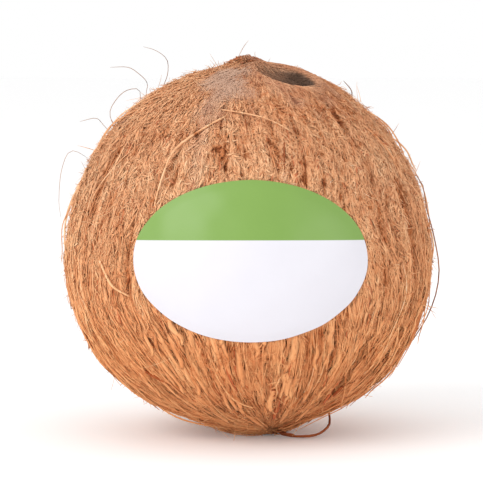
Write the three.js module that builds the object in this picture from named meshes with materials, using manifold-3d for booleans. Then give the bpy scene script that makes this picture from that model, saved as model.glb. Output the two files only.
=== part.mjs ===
// A coconut with most of its husk trimmed away, standing upright on a small flat spot.
// Long brown fibres run from the bald spot at its crown down to a tuft under it, in raised
// bundles with loose strands over them, and an oval sticker lies on its front.
// Units are millimetres, +Z is up, and the origin is the middle of the flat spot.

import * as THREE from "three";
import { mergeVertices } from "three/addons/utils/BufferGeometryUtils.js";
import Module from "manifold-3d";

const wasm = await Module();
wasm.setup();

// The fruit
const MIDDLE = new THREE.Vector3(-3, 1.5, 58.6); // its middle, over the flat spot
const WAIST_RADIUS = 56.8;
const LOOK_DOWN = THREE.MathUtils.degToRad(5); // how far from above its front is seen
const LOBE_SHARE = 0.012; // how much its three long faces bulge, as a share of the radius

// The outline's radius by latitude, as shares of the waist's: fuller low down, slim on top
const OUTLINE = { mean: 0.991, heavyBase: 0.025, waist: 0.007, belly: 0.016, shoulder: 0.0055 };

// The bald spot at the crown, a shallow dish with a smooth raised rim
const CROWN_DIRECTION = new THREE.Vector3(0.213, -0.247, 0.945).normalize();
const CROWN = { height: 1.5, width: 14 }; // the low dome that the dish is in
const DISH = { radius: 8.4, depth: 3.2, rimRadius: 11.2, rimHeight: 0.8, rimWidth: 2.4 };

// The small peak beside the dish, and the tuft below that the flat spot is pressed into
const PEAK = { x: -4.2, y: 2.5, height: 2.4, width: 3.8 };
const TUFT = { x: 0.6, y: 0, height: 5, width: 8.6 };
const TUFT_TIP = new THREE.Vector3(5.6, -3.2, 1.5); // where the fibres come together

// The raised bundles of fibre
const MERIDIANS = 92;
const PARALLELS = 33;
const POLE_CROWDING = 0.2; // rows stand closer towards the crown and the tuft
const BUNDLE_HEIGHT = 1.2;
const BUNDLE_TAPER = 0.7; // how soon a bundle flattens towards the crown and the tuft
const BUNDLE_DRIFT = 0.22; // radians a row by which raised bundles fade and change places
const BUNDLE_CROWDING = 0.42; // how far, in column widths, a bundle's edge may stand aside
const BUNDLE_SWAY = 0.05; // radians that a bundle wanders sideways on its way down

// The sticker, an oval bent onto the front over a smooth bed
const STICKER = { halfWidth: 35, halfHeight: 23.5, thickness: 0.6, gap: 0.4, bed: -0.55 };
const STICKER_TURN = THREE.MathUtils.degToRad(0.7); // towards +X
const STICKER_TILT = THREE.MathUtils.degToRad(-0.1); // downwards
const STICKER_RINGS = 6;
const STICKER_STEPS = 38;
const BED_REACH = 1.04; // the smooth bed reaches this share of the sticker's size,
const BED_BLEND = 1.3; // and has blended into the bundles at this one

// The loose strands
const STRAND_RADIUS = 0.5;
const STRAND_SIDES = 3;
const PLACED_STEPS = 11;
const LOOSE_STEPS = 7;
const STRAND_TAPER = 0.75; // a strand's radius at its tip, as a share of that at its root
const ROOT_DEPTH = 1.8;
const FLOOR_CLEARANCE = 0.25;
const SIGHT_ROUNDS = 4;

// The strands strewn all round: angles in radians along the fibres, lifts over the husk
const LOOSE_STRANDS = 58;
const EVEN_STEP_ROUND = 0.7549; // shares of a turn and of the height from one to the next,
const EVEN_STEP_DOWN = 0.5698; // which spread the strands evenly over the fruit
const LOOSE_START = { first: 0.45, range: 1.85 };
const LOOSE_LENGTH = { least: 0.35, range: 0.35 };
const LOOSE_DRIFT = 0.25;
const LOOSE_ARCH = { least: 1.4, range: 1.2 };
const FREE_TIP = { share: 0.35, least: 2, range: 2 };
const LOOSE_SHARES = [0, 0.14, 0.5, 0.86, 1]; // where along its length its points stand
const LOOSE_LOW = 0.6; // the least lift of a point between the roots

// Strands placed one by one, each point as [across, up, lift]: millimetres from the middle
// as seen from the front, and the height over the husk where the point lies on it. A point
// past the outline hangs in the air at its own place.
const PLACED_STRANDS = [
  // the pale arch at the sticker's upper left, and the strand that crosses above it
  { radius: 0.55, path: [[-28, 9, -1.8], [-27.5, 12.5, 1], [-25.4, 19.9, 2.2], [-22.3, 27.2, 2.6],
    [-15.6, 32.7, 2.2], [-7.7, 37.3, 1.2], [-5, 38.4, -1.8]] },
  { radius: 0.45, path: [[-9.5, 39.8, -1.8], [-7, 39.6, 0.8], [-2, 38.7, 1.3], [5, 37, 1.3],
    [11.6, 33.7, 0.8], [14.5, 31, -1.8]] },
  // the flap left of the sticker
  { radius: 0.6, path: [[-45.5, -3.5, -1.8], [-44.1, -6.1, 1.3], [-40.7, -12.5, 1.9],
    [-36, -15.4, 1.2], [-33.5, -16.4, -1.6]] },
  // the long dark strand that stands off the right side
  { radius: 0.45, path: [[50.5, 23, -1.8], [53.6, 19.9, 0], [55.6, 10.1, 0], [57.4, 3.7, 0],
    [59.2, -6, 0], [59, -12.5, 0], [57.3, -19, 0], [54.2, -25.4, 0], [47.8, -34.3, 0],
    [43.5, -37.5, -1.8]] },
  // the curls at the upper left
  { radius: 0.36, path: [[-27, 44.5, -1.8], [-26.6, 48.3, 0], [-25.1, 52.9, 0], [-25.4, 57.2, 0],
    [-28.8, 60, 0], [-32.7, 61.2, 0]] },
  { radius: 0.36, path: [[-31, 43.5, -1.8], [-31.8, 46.5, 0], [-31.5, 49.9, 0], [-34.3, 52.9, 0],
    [-37.6, 54.8, 0], [-43.1, 54.8, 0]] },
  { radius: 0.36, path: [[-33.5, 41.5, -1.8], [-33.6, 45.5, 0], [-34.3, 48, 0], [-38.3, 47.4, 0],
    [-41.6, 44.1, 0], [-43.1, 40.1, 0], [-42.5, 35.5, -1.8]] },
  { radius: 0.36, path: [[-43, 34, -1.8], [-44.9, 36.6, 0], [-47.5, 38.9, 0], [-52.5, 37.9, 0]] },
  { radius: 0.36, path: [[-51.5, 27, -1.8], [-54.9, 28.8, 0], [-58.1, 23, 0], [-59, 13.5, 0],
    [-58.4, 8, 0]] },
];

// The thick loop beside the tuft, which lies along the ground, by its points in place
const LOOP = {
  radius: 0.55,
  path: [[5.5, -4, 4], [6.5, -8.5, 1.1], [9, -13, 0.6], [13.5, -15, 0.6], [17.6, -14.2, 0.9],
    [20.8, -11, 2.2], [22.3, -7.5, 4.2], [21.5, -4, 10]],
};

const HUSK_COLOUR = new THREE.Color(0xc68a5c);
const STICKER_COLOUR = new THREE.Color(0xf4f2f6);

const MERGE_DISTANCE = 1e-4;

function seededRandom(seed) {
  let state = seed;
  return () => {
    state = (state + 0x6d2b79f5) | 0;
    let mixed = Math.imul(state ^ (state >>> 15), 1 | state);
    mixed = (mixed + Math.imul(mixed ^ (mixed >>> 7), 61 | mixed)) ^ mixed;
    return ((mixed ^ (mixed >>> 14)) >>> 0) / 2 ** 32;
  };
}

// A closed geometry with its shared corners merged and its empty triangles dropped
function closedGeometry(geometry) {
  geometry.deleteAttribute("normal");
  geometry.deleteAttribute("uv");
  const merged = mergeVertices(geometry, MERGE_DISTANCE);
  const corners = [];
  for (let first = 0; first < merged.index.count; first += 3) {
    const [a, b, c] = [0, 1, 2].map((step) => merged.index.getX(first + step));
    if (a !== b && b !== c && c !== a) {
      corners.push(a, b, c);
    }
  }
  merged.setIndex(corners);
  return merged;
}

function solidOf(geometry) {
  const closed = closedGeometry(geometry);
  return new wasm.Manifold(new wasm.Mesh({
    numProp: 3,
    vertProperties: new Float32Array(closed.attributes.position.array),
    triVerts: new Uint32Array(closed.index.array),
  }));
}

function geometryOf(solid) {
  const mesh = solid.getMesh();
  const geometry = new THREE.BufferGeometry();
  geometry.setAttribute("position", new THREE.BufferAttribute(mesh.vertProperties, 3));
  geometry.setIndex(new THREE.BufferAttribute(mesh.triVerts, 1));
  return geometry;
}

// A soft round hill, 1 at its middle, around an axis from the fruit's middle
function hill(direction, axis, width) {
  const distance = direction.angleTo(axis) * WAIST_RADIUS;
  return Math.exp(-0.5 * (distance / width) ** 2);
}

function towards(x, y, z) {
  return new THREE.Vector3(x, y, z).sub(MIDDLE).normalize();
}

const PEAK_DIRECTION = towards(PEAK.x, PEAK.y, 2 * MIDDLE.z);
const TUFT_AXIS = towards(TUFT.x, TUFT.y, 0);
const TUFT_DIRECTION = TUFT_TIP.clone().sub(MIDDLE).normalize();

// The sticker's own directions: out of its face, along its width and up its height
const STICKER_OUT = new THREE.Vector3(
  Math.sin(STICKER_TURN) * Math.cos(STICKER_TILT),
  -Math.cos(STICKER_TURN) * Math.cos(STICKER_TILT),
  Math.sin(STICKER_TILT),
);
const STICKER_ALONG = new THREE.Vector3(Math.cos(STICKER_TURN), Math.sin(STICKER_TURN), 0);
const STICKER_UP = STICKER_OUT.clone().cross(STICKER_ALONG).negate();

// Where a direction passes the sticker: 0 at its middle, 1 at its edge, more outside it
function stickerReach(direction) {
  if (direction.dot(STICKER_OUT) <= 0) {
    return Infinity;
  }
  const across = direction.dot(STICKER_ALONG) * WAIST_RADIUS / STICKER.halfWidth;
  const up = direction.dot(STICKER_UP) * WAIST_RADIUS / STICKER.halfHeight;
  return Math.hypot(across, up);
}

// 0 under the sticker, 1 clear of it
function clearOfSticker(direction) {
  return THREE.MathUtils.smoothstep(stickerReach(direction), BED_REACH, BED_BLEND);
}

// The husk's radius in a direction, without its bundles
function huskRadius(direction) {
  const latitude = Math.asin(THREE.MathUtils.clamp(direction.z, -1, 1));
  const azimuth = Math.atan2(direction.y, direction.x);
  const outline = OUTLINE.mean - OUTLINE.heavyBase * Math.sin(latitude)
    + OUTLINE.waist * Math.cos(2 * latitude) - OUTLINE.belly * Math.sin(3 * latitude)
    - OUTLINE.shoulder * Math.cos(4 * latitude);
  const lobes = LOBE_SHARE * Math.cos(3 * azimuth - Math.PI / 2) * Math.cos(latitude);
  const fromCrown = direction.angleTo(CROWN_DIRECTION) * WAIST_RADIUS;
  const dish = -DISH.depth * Math.exp(-((fromCrown / DISH.radius) ** 4));
  const rim = DISH.rimHeight * Math.exp(-(((fromCrown - DISH.rimRadius) / DISH.rimWidth) ** 2));
  return WAIST_RADIUS * (outline + lobes) + dish + rim
    + CROWN.height * hill(direction, CROWN_DIRECTION, CROWN.width)
    + PEAK.height * hill(direction, PEAK_DIRECTION, PEAK.width)
    + TUFT.height * hill(direction, TUFT_AXIS, TUFT.width)
    + STICKER.bed * (1 - clearOfSticker(direction));
}

function onHusk(direction, lift) {
  return MIDDLE.clone().addScaledVector(direction, huskRadius(direction) + lift);
}

// The way the fibres lie: azimuth picks the fibre, and polar runs from 0 at the crown to pi
// at the tuft, neither of which is straight over or under the middle
function fibreDirection(azimuth, polar) {
  const direction = new THREE.Vector3().setFromSphericalCoords(1, polar, azimuth);
  direction.set(direction.z, direction.x, direction.y);
  const pole = direction.z > 0 ? CROWN_DIRECTION : TUFT_DIRECTION;
  const upright = new THREE.Vector3(0, 0, Math.sign(direction.z));
  const pull = pole.clone().sub(upright).multiplyScalar(direction.z ** 2);
  return direction.add(pull).normalize();
}

// The meridians that make the bundles: every other one is raised, each stands a little
// aside so that the bundles differ in width and steepness, and each fades along its length
// at a rate of its own, so that bundles end and others begin beside them
function bundleMeridians() {
  const random = seededRandom(7);
  return Array.from({ length: MERIDIANS }, (_, column) => {
    const aside = BUNDLE_CROWDING * (2 * random() - 1);
    const drift = BUNDLE_DRIFT * (2 * random() - 1);
    const swayPhase = 0.4 * column;
    return {
      azimuth: (polar) => 2 * Math.PI * (column + aside) / MERIDIANS
        + BUNDLE_SWAY * Math.sin(3 * polar + swayPhase) * Math.sin(polar),
      height: (row) => BUNDLE_HEIGHT * Math.sin(Math.PI * row / PARALLELS) ** BUNDLE_TAPER
        * Math.cos(Math.PI * column + drift * (row - PARALLELS / 2)),
    };
  });
}

function huskBody() {
  const meridians = bundleMeridians();
  const geometry = new THREE.SphereGeometry(1, MERIDIANS, PARALLELS);
  const position = geometry.getAttribute("position");
  for (let index = 0; index < position.count; index++) {
    const meridian = meridians[index % (MERIDIANS + 1) % MERIDIANS];
    const row = Math.floor(index / (MERIDIANS + 1));
    const even = Math.PI * row / PARALLELS;
    const polar = even - POLE_CROWDING * Math.sin(2 * even);
    const direction = fibreDirection(meridian.azimuth(polar), polar);
    const point = onHusk(direction, meridian.height(row) * clearOfSticker(direction));
    position.setXYZ(index, point.x, point.y, point.z);
  }
  return solidOf(geometry);
}

// A tapered strand along a curve: a thin three-sided rod, bent
function strand(points, rootRadius, tipRadius, steps) {
  const curve = new THREE.CatmullRomCurve3(points);
  const frames = curve.computeFrenetFrames(steps, false);
  const rod = new THREE.CylinderGeometry(1, 1, 1, STRAND_SIDES, steps);
  const position = rod.getAttribute("position");
  for (let index = 0; index < position.count; index++) {
    const along = position.getY(index) + 0.5;
    const step = Math.round(along * steps);
    const radius = THREE.MathUtils.lerp(rootRadius, tipRadius, along);
    const point = curve.getPointAt(along)
      .addScaledVector(frames.normals[step], radius * position.getX(index))
      .addScaledVector(frames.binormals[step], -radius * position.getZ(index));
    position.setXYZ(index, point.x, point.y, Math.max(point.z, FLOOR_CLEARANCE));
  }
  return solidOf(rod);
}

// The direction of a point at a radius that is seen across and up from the middle
function seenDirection(across, up, radius) {
  const depth = Math.sqrt(Math.max(0, radius ** 2 - across ** 2 - up ** 2));
  return new THREE.Vector3(
    across,
    up * Math.sin(LOOK_DOWN) - depth * Math.cos(LOOK_DOWN),
    up * Math.cos(LOOK_DOWN) + depth * Math.sin(LOOK_DOWN),
  ).normalize();
}

// A point of a placed strand, drawn closer to its place over the husk with every round
function seenPoint([across, up, lift]) {
  let direction = seenDirection(across, up, WAIST_RADIUS);
  for (let round = 0; round < SIGHT_ROUNDS; round++) {
    direction = seenDirection(across, up, huskRadius(direction) + lift);
  }
  const reach = Math.hypot(across, up);
  const hangs = lift === 0 && reach > huskRadius(direction);
  return hangs ? MIDDLE.clone().addScaledVector(direction, reach) : onHusk(direction, lift);
}

function placedStrands() {
  const placed = PLACED_STRANDS.map(({ radius, path }) => ({ radius, points: path.map(seenPoint) }));
  const loop = { radius: LOOP.radius, points: LOOP.path.map((place) => new THREE.Vector3(...place)) };
  return [...placed, loop].map(({ radius, points }) => (
    strand(points, radius, STRAND_TAPER * radius, PLACED_STEPS)));
}

// Loose strands all round, along the fibres: some bridge from root to root, others end in
// a free tip that stands off the husk
function looseStrands() {
  const random = seededRandom(41);
  const draw = ({ least, range }) => least + range * random();
  const strands = [];
  for (let count = 0; count < LOOSE_STRANDS; count++) {
    const azimuth = 2 * Math.PI * ((count * EVEN_STEP_ROUND) % 1);
    const start = LOOSE_START.first + LOOSE_START.range * ((count * EVEN_STEP_DOWN) % 1);
    const length = draw(LOOSE_LENGTH);
    const drift = LOOSE_DRIFT * (2 * random() - 1);
    const arch = draw(LOOSE_ARCH);
    const tip = random() < FREE_TIP.share ? draw(FREE_TIP) : -ROOT_DEPTH;
    const lifts = [-ROOT_DEPTH, LOOSE_LOW, arch, Math.max(LOOSE_LOW, 0.7 * tip), tip];
    const directions = LOOSE_SHARES.map((share) => (
      fibreDirection(azimuth + drift * share ** 2, start + length * share)));
    if (directions.every((direction) => stickerReach(direction) > BED_BLEND)) {
      const points = directions.map((direction, index) => onHusk(direction, lifts[index]));
      strands.push(strand(points, STRAND_RADIUS, STRAND_TAPER * STRAND_RADIUS, LOOSE_STEPS));
    }
  }
  return strands;
}

// The whole fruit, fused into one solid and pressed flat where it rests
function coconut() {
  const ground = new THREE.BoxGeometry(200, 200, 40).translate(0, 0, -20);
  const fused = [...placedStrands(), ...looseStrands()]
    .reduce((whole, piece) => whole.add(piece), huskBody())
    .subtract(solidOf(ground));
  const [largest] = fused.decompose().sort((one, other) => other.volume() - one.volume());
  const material = new THREE.MeshStandardMaterial({ color: HUSK_COLOUR, roughness: 0.9, metalness: 0 });
  const mesh = new THREE.Mesh(geometryOf(largest), material);
  mesh.name = "coconut";
  return mesh;
}

// The oval sticker: a thin round disc of rings, stretched to the oval and laid on its bed
function sticker() {
  const shares = Array.from({ length: STICKER_RINGS + 1 }, (_, ring) => ring / STICKER_RINGS);
  const under = shares.map((share) => new THREE.Vector2(share, STICKER.gap));
  const over = shares.map((share) => new THREE.Vector2(share, STICKER.gap + STICKER.thickness));
  const disc = new THREE.LatheGeometry([...under, ...over.reverse()], STICKER_STEPS);
  const position = disc.getAttribute("position");
  for (let index = 0; index < position.count; index++) {
    const across = position.getX(index) * STICKER.halfWidth;
    const up = position.getZ(index) * STICKER.halfHeight;
    const depth = Math.sqrt(WAIST_RADIUS ** 2 - across ** 2 - up ** 2);
    const direction = STICKER_OUT.clone().multiplyScalar(depth)
      .addScaledVector(STICKER_ALONG, across)
      .addScaledVector(STICKER_UP, up)
      .normalize();
    const point = onHusk(direction, position.getY(index));
    position.setXYZ(index, point.x, point.y, point.z);
  }
  const material = new THREE.MeshStandardMaterial({ color: STICKER_COLOUR, roughness: 0.35, metalness: 0 });
  const mesh = new THREE.Mesh(closedGeometry(disc), material);
  mesh.name = "label";
  return mesh;
}

const fruit = new THREE.Group();
fruit.add(coconut(), sticker());

export default fruit;
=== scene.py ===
# %% [markdown]
# A coconut is built here as a maker of props would build it. A solid husk is shaped first,
# then fibres are laid over it in layers, as they lie on the real fruit: a matted coat, long
# strands that run down to the tuft, and loose hairs. An oval sticker goes on last. All
# lengths below are in millimetres, and MM turns them into Blender's metres.

# %% The frame
import math

import bmesh
import bpy
import numpy as np
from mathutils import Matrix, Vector


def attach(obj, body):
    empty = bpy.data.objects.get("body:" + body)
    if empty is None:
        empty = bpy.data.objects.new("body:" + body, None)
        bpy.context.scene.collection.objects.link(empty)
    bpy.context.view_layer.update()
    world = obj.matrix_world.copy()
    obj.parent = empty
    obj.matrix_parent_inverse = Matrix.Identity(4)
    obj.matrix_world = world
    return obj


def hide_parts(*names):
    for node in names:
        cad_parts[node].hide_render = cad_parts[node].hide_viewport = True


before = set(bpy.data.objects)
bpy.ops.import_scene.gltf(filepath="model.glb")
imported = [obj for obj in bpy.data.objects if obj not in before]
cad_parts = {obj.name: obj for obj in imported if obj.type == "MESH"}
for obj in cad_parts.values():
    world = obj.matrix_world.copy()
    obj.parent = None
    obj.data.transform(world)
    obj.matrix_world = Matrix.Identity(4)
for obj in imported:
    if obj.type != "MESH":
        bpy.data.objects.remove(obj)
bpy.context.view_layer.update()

MM = 0.001


# %% [markdown]
# The camera stands straight in front of the sticker and a little above the middle of the
# fruit, far back with a long lens, which is how a shop picture is usually taken. The place
# where it aims is set so that the fruit fills the same part of the square picture.

# %% The camera
MIDDLE = np.array([-3.0, 1.5, 58.6])  # the middle of the fruit
LOOK_DOWN = math.radians(5)
VIEW_WIDTH = 150.4  # how much of the fruit's plane the picture shows, in mm
CAMERA_DISTANCE = 850.0
AIM_LEFT = 2.15  # the camera aims this far to the left of the fruit's middle, in mm,
AIM_UP = 0.56  # and this far over it
SENSOR = 36.0


def add_camera():
    aim = MIDDLE + np.array([-AIM_LEFT, 0, AIM_UP])
    back = np.array([0, -math.cos(LOOK_DOWN), math.sin(LOOK_DOWN)])
    bpy.ops.object.camera_add(
        location=Vector((aim + CAMERA_DISTANCE * back) * MM),
        rotation=(math.pi / 2 - LOOK_DOWN, 0, 0),
    )
    camera = bpy.context.object
    camera.data.sensor_width = SENSOR
    camera.data.lens = SENSOR * CAMERA_DISTANCE / VIEW_WIDTH
    camera.data.clip_start = 0.01
    bpy.context.scene.camera = camera
    return camera


camera = add_camera()
print("camera lens", round(camera.data.lens), "mm")


# %% [markdown]
# The light is a plain studio's: a pale world all round, one broad soft lamp from the front
# left, and a weak one from the right. Broad lamps shade a round thing softly, as in the
# photograph, where small ones would give it a hard edge of shadow.

# %% The light
KEY = dict(place=(-0.95, -0.85, 0.7), size=1.1, power=9.9)  # in metres and watts
FILL = dict(place=(0.9, -0.7, 0.3), size=0.7, power=1.9)
WORLD_LIGHT = 0.96
WORLD_SEEN = 1.0  # by the camera, behind the fruit


def add_lamp(name, place, size, power):
    bpy.ops.object.light_add(type="AREA", location=Vector(place))
    lamp = bpy.context.object
    lamp.name = name
    lamp.data.shape = "DISK"
    lamp.data.size = size
    lamp.data.energy = power
    towards = Vector(MIDDLE * MM) - Vector(place)
    lamp.rotation_euler = towards.to_track_quat("-Z", "Y").to_euler()
    return lamp


def add_world():
    world = bpy.data.worlds.new("pale studio")
    bpy.context.scene.world = world
    world.use_nodes = True
    nodes, links = world.node_tree.nodes, world.node_tree.links
    background = nodes["Background"]
    background.inputs["Color"].default_value = (1, 1, 1, 1)
    path = nodes.new("ShaderNodeLightPath")
    strength = nodes.new("ShaderNodeMapRange")
    strength.inputs["To Min"].default_value = WORLD_LIGHT
    strength.inputs["To Max"].default_value = WORLD_SEEN
    links.new(path.outputs["Is Camera Ray"], strength.inputs["Value"])
    links.new(strength.outputs["Result"], background.inputs["Strength"])


add_lamp("key", **KEY)
add_lamp("fill", **FILL)
add_world()
bpy.context.scene.view_settings.view_transform = "Standard"
print("lamps of", KEY["power"], "and", FILL["power"], "W")


# %% [markdown]
# The floor is a single pale plane, a hair's breadth under the fruit, because two faces in the very
# same place would come out spotted. It glows a little, which keeps it as white as the background.
# It belongs to the picture and not to the fruit.

# %% The floor
FLOOR_SIZE = 8  # in metres
FLOOR_GAP = 0.3 * MM
FLOOR_COLOUR = (0.93, 0.93, 0.93, 1)
FLOOR_GLOW = 0.09


def add_floor():
    bpy.ops.mesh.primitive_plane_add(size=FLOOR_SIZE, location=(0, 0, -FLOOR_GAP))
    floor = bpy.context.object
    floor.name = "floor"
    paint = bpy.data.materials.new("floor paint")
    paint.use_nodes = True
    shader = paint.node_tree.nodes["Principled BSDF"]
    shader.inputs["Base Color"].default_value = FLOOR_COLOUR
    shader.inputs["Roughness"].default_value = 0.9
    shader.inputs["Emission Color"].default_value = (1, 1, 1, 1)
    shader.inputs["Emission Strength"].default_value = FLOOR_GLOW
    floor.data.materials.append(paint)
    return floor


floor = add_floor()
print("floor at", round(floor.location.z / MM, 2), "mm")


# %% [markdown]
# The husk isn't a ball. It is fuller below the waist than above it, has three soft long
# faces, a bald dish with a smooth rim at the crown, a small peak beside the dish, and a tuft
# underneath. The sticker is an oval on its front. Their sizes are set down first, and the
# directions in which they lie from the fruit's middle.

# %% Sizes and directions
WAIST_RADIUS = 56.8
GIRTH = 2 * math.pi * WAIST_RADIUS
LOBE_SHARE = 0.012
OUTLINE = dict(mean=0.991, heavy_base=0.025, waist=0.007, belly=0.016, shoulder=0.0055)
CROWN_DIRECTION = np.array([0.213, -0.247, 0.945])
CROWN = dict(height=1.5, width=14)  # the low dome that the dish is in
DISH = dict(radius=8.4, depth=3.2, rim_radius=11.2, rim_height=0.8, rim_width=2.4)
PEAK = dict(x=-4.2, y=2.5, height=2.4, width=3.8)
TUFT = dict(x=0.6, y=0.0, height=5.0, width=8.6)
TUFT_TIP = np.array([5.6, -3.2, 1.5])
STICKER_HALF_WIDTH = 35
STICKER_HALF_HEIGHT = 23.5
STICKER_BED = -0.55  # how much lower the husk lies under the sticker
BED_REACH = 1.04  # the bed is as low as that up to this share of the sticker's size,
BED_BLEND = 1.3  # and has risen to the husk at this one
STICKER_TURN = math.radians(0.7)
STICKER_TILT = math.radians(-0.1)


def unit(vectors):
    return vectors / np.linalg.norm(vectors, axis=-1, keepdims=True)


CROWN_DIRECTION = unit(CROWN_DIRECTION)
TUFT_DIRECTION = unit(TUFT_TIP - MIDDLE)
PEAK_DIRECTION = unit(np.array([PEAK["x"], PEAK["y"], 2 * MIDDLE[2]]) - MIDDLE)
TUFT_AXIS = unit(np.array([TUFT["x"], TUFT["y"], 0]) - MIDDLE)
STICKER_OUT = np.array([
    math.sin(STICKER_TURN) * math.cos(STICKER_TILT),
    -math.cos(STICKER_TURN) * math.cos(STICKER_TILT),
    math.sin(STICKER_TILT),
])
STICKER_ALONG = np.array([math.cos(STICKER_TURN), math.sin(STICKER_TURN), 0])
STICKER_UP = np.cross(STICKER_OUT, STICKER_ALONG)
print("sticker", 2 * STICKER_HALF_WIDTH, "by", 2 * STICKER_HALF_HEIGHT, "mm, straight across")


# %% [markdown]
# One formula gives the fruit's radius in any direction, so that every piece that is laid on
# it later can ask where the surface is. The outline is a sum of a few waves by latitude.
# The lobes, the dish and its rim, the soft hills of the crown, peak and tuft, and the
# sticker's sunken bed are added to it. Sculpting could give the same shape, but then the
# fibres would have to be stuck to it by ray casting.

# %% The radius in any direction
def smooth_step(values, low, high):
    share = np.clip((values - low) / (high - low), 0, 1)
    return share * share * (3 - 2 * share)


def distance_from(directions, axis):
    """Millimetres along the surface from the point that an axis passes through."""
    return np.arccos(np.clip(directions @ axis, -1, 1)) * WAIST_RADIUS


def from_crown(directions):
    return distance_from(directions, CROWN_DIRECTION)


def sticker_reach(directions):
    """0 in the sticker's middle, 1 at its edge, more outside it and 9 behind the fruit."""
    across = directions @ STICKER_ALONG * WAIST_RADIUS / STICKER_HALF_WIDTH
    up = directions @ STICKER_UP * WAIST_RADIUS / STICKER_HALF_HEIGHT
    return np.where(directions @ STICKER_OUT > 0, np.hypot(across, up), 9.0)


def hill(directions, axis, sizes):
    """A soft round hill around an axis, in mm."""
    return sizes["height"] * np.exp(-0.5 * (distance_from(directions, axis) / sizes["width"]) ** 2)


def husk_radius(directions):
    latitude = np.arcsin(np.clip(directions[..., 2], -1, 1))
    azimuth = np.arctan2(directions[..., 1], directions[..., 0])
    outline = (
        OUTLINE["mean"] - OUTLINE["heavy_base"] * np.sin(latitude)
        + OUTLINE["waist"] * np.cos(2 * latitude) - OUTLINE["belly"] * np.sin(3 * latitude)
        - OUTLINE["shoulder"] * np.cos(4 * latitude)
    )
    lobes = LOBE_SHARE * np.cos(3 * azimuth - math.pi / 2) * np.cos(latitude)
    distance = from_crown(directions)
    dish = -DISH["depth"] * np.exp(-((distance / DISH["radius"]) ** 4))
    rim_place = (distance - DISH["rim_radius"]) / DISH["rim_width"]
    rim = DISH["rim_height"] * np.exp(-(rim_place ** 2))
    hills = (hill(directions, CROWN_DIRECTION, CROWN) + hill(directions, PEAK_DIRECTION, PEAK)
             + hill(directions, TUFT_AXIS, TUFT))
    bed = STICKER_BED * (1 - smooth_step(sticker_reach(directions), BED_REACH, BED_BLEND))
    return WAIST_RADIUS * (outline + lobes) + dish + rim + hills + bed


def on_husk(directions, lift):
    """Points in metres over the husk; lift is in mm, one number for each direction."""
    radius = husk_radius(directions) + lift
    return (MIDDLE + directions * radius[..., None]) * MM


print("radius at the waist", husk_radius(np.array([[0, 1.0, 0]])).round(1), "mm")


# %% [markdown]
# Fibres run from the peak at the top to a tuft under the front, like the lines of longitude
# on a globe whose poles have been pushed aside. A pair of angles names a place on the fruit:
# azimuth picks the line, and polar says how far down it is. The way back, from a place to
# its angles, has no formula, so it is found by a few rounds of correction.

# %% The lines of the fibres
UPRIGHT = np.array([0, 0, 1.0])
LINES_TOP = unit(np.array([-0.01, -0.09, 1.0]))  # where the fibres' lines begin and end
LINES_FOOT = unit(np.array([0.12, -0.26, -1.0]))


def pole_shift(height, top, foot):
    """How far the lines' ends stand aside of straight up or down."""
    return np.where(height > 0, top - UPRIGHT, foot + UPRIGHT)


def fibre_direction(azimuth, polar, top=LINES_TOP, foot=LINES_FOOT):
    straight = np.stack([
        np.sin(polar) * np.cos(azimuth), np.sin(polar) * np.sin(azimuth), np.cos(polar)], -1)
    height = straight[..., 2:]
    return unit(straight + pole_shift(height, top, foot) * height ** 2)


def straightened(directions, rounds=6):
    """The direction that fibre_direction would have bent into this one."""
    straight = directions
    for _ in range(rounds):
        height = straight[..., 2:]
        shift = pole_shift(height, LINES_TOP, LINES_FOOT) * height ** 2
        size = np.linalg.norm(straight + shift, axis=-1, keepdims=True)
        straight = unit(directions * size - shift)
    return straight


print("the lines' top and foot", LINES_TOP.round(2), LINES_FOOT.round(2))


# %% [markdown]
# The lines also sway. Soft noise, a sum of a few waves, bends all that lies near together
# the same way, as combed hair does. With it a place can be told in millimetres across the
# lines and down them, and every fibre can ask which way leads down to the tuft.

# %% Places on the lines
FIBRE_SWAY = 0.036  # radians by which the lines wander sideways
SWAY_WAVES = dict(seed=3, wavelength=46)
CLEAR_OF_ENDS = (0.02, math.pi - 0.06)  # at its very ends a line has no way of its own


def soft_noise(directions, seed, wavelength, waves=14):
    """Smooth noise of about -1 to 1 whose hills stand about a wavelength, in mm, apart."""
    random = np.random.default_rng(seed)
    ways = unit(random.normal(size=(waves, 3)))
    turns = GIRTH / wavelength * random.uniform(0.6, 1.4, waves)
    phases = random.uniform(0, 2 * math.pi, waves)
    angles = directions @ (ways * turns[:, None]).T + phases
    return np.cos(angles).sum(-1) / math.sqrt(waves)


def line_and_polar(directions):
    """Which line a place lies on, as an angle, and how far down it is."""
    straight = straightened(directions)
    azimuth = np.arctan2(straight[..., 1], straight[..., 0])
    polar = np.arccos(np.clip(straight[..., 2], -1, 1))
    return azimuth + FIBRE_SWAY * soft_noise(directions, **SWAY_WAVES), polar


def on_line(line, polar):
    """The direction of a place on a line, so far down it."""
    sway = FIBRE_SWAY * soft_noise(fibre_direction(line, polar), **SWAY_WAVES)
    return fibre_direction(line - sway, polar)


def flow_place(directions):
    """The place as mm across the lines and mm down them, for the shader's patterns."""
    line, polar = line_and_polar(directions)
    return np.stack([line * WAIST_RADIUS, polar * WAIST_RADIUS], -1)


def down_the_fibre(directions, step=0.04):
    """The way to the tuft along the surface, as a unit vector at each direction."""
    line, polar = line_and_polar(directions)
    polar = np.clip(polar, *CLEAR_OF_ENDS)
    way = on_line(line, polar + step) - on_line(line, polar)
    return unit(way - directions * (way * directions).sum(-1, keepdims=True))


def round_the_crown(directions):
    """The way round the dish, as a unit vector at each direction."""
    return unit(np.cross(CROWN_DIRECTION, directions))


print("down the fibre at the front", down_the_fibre(np.array([[0, -1.0, 0]])).round(2))
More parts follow.
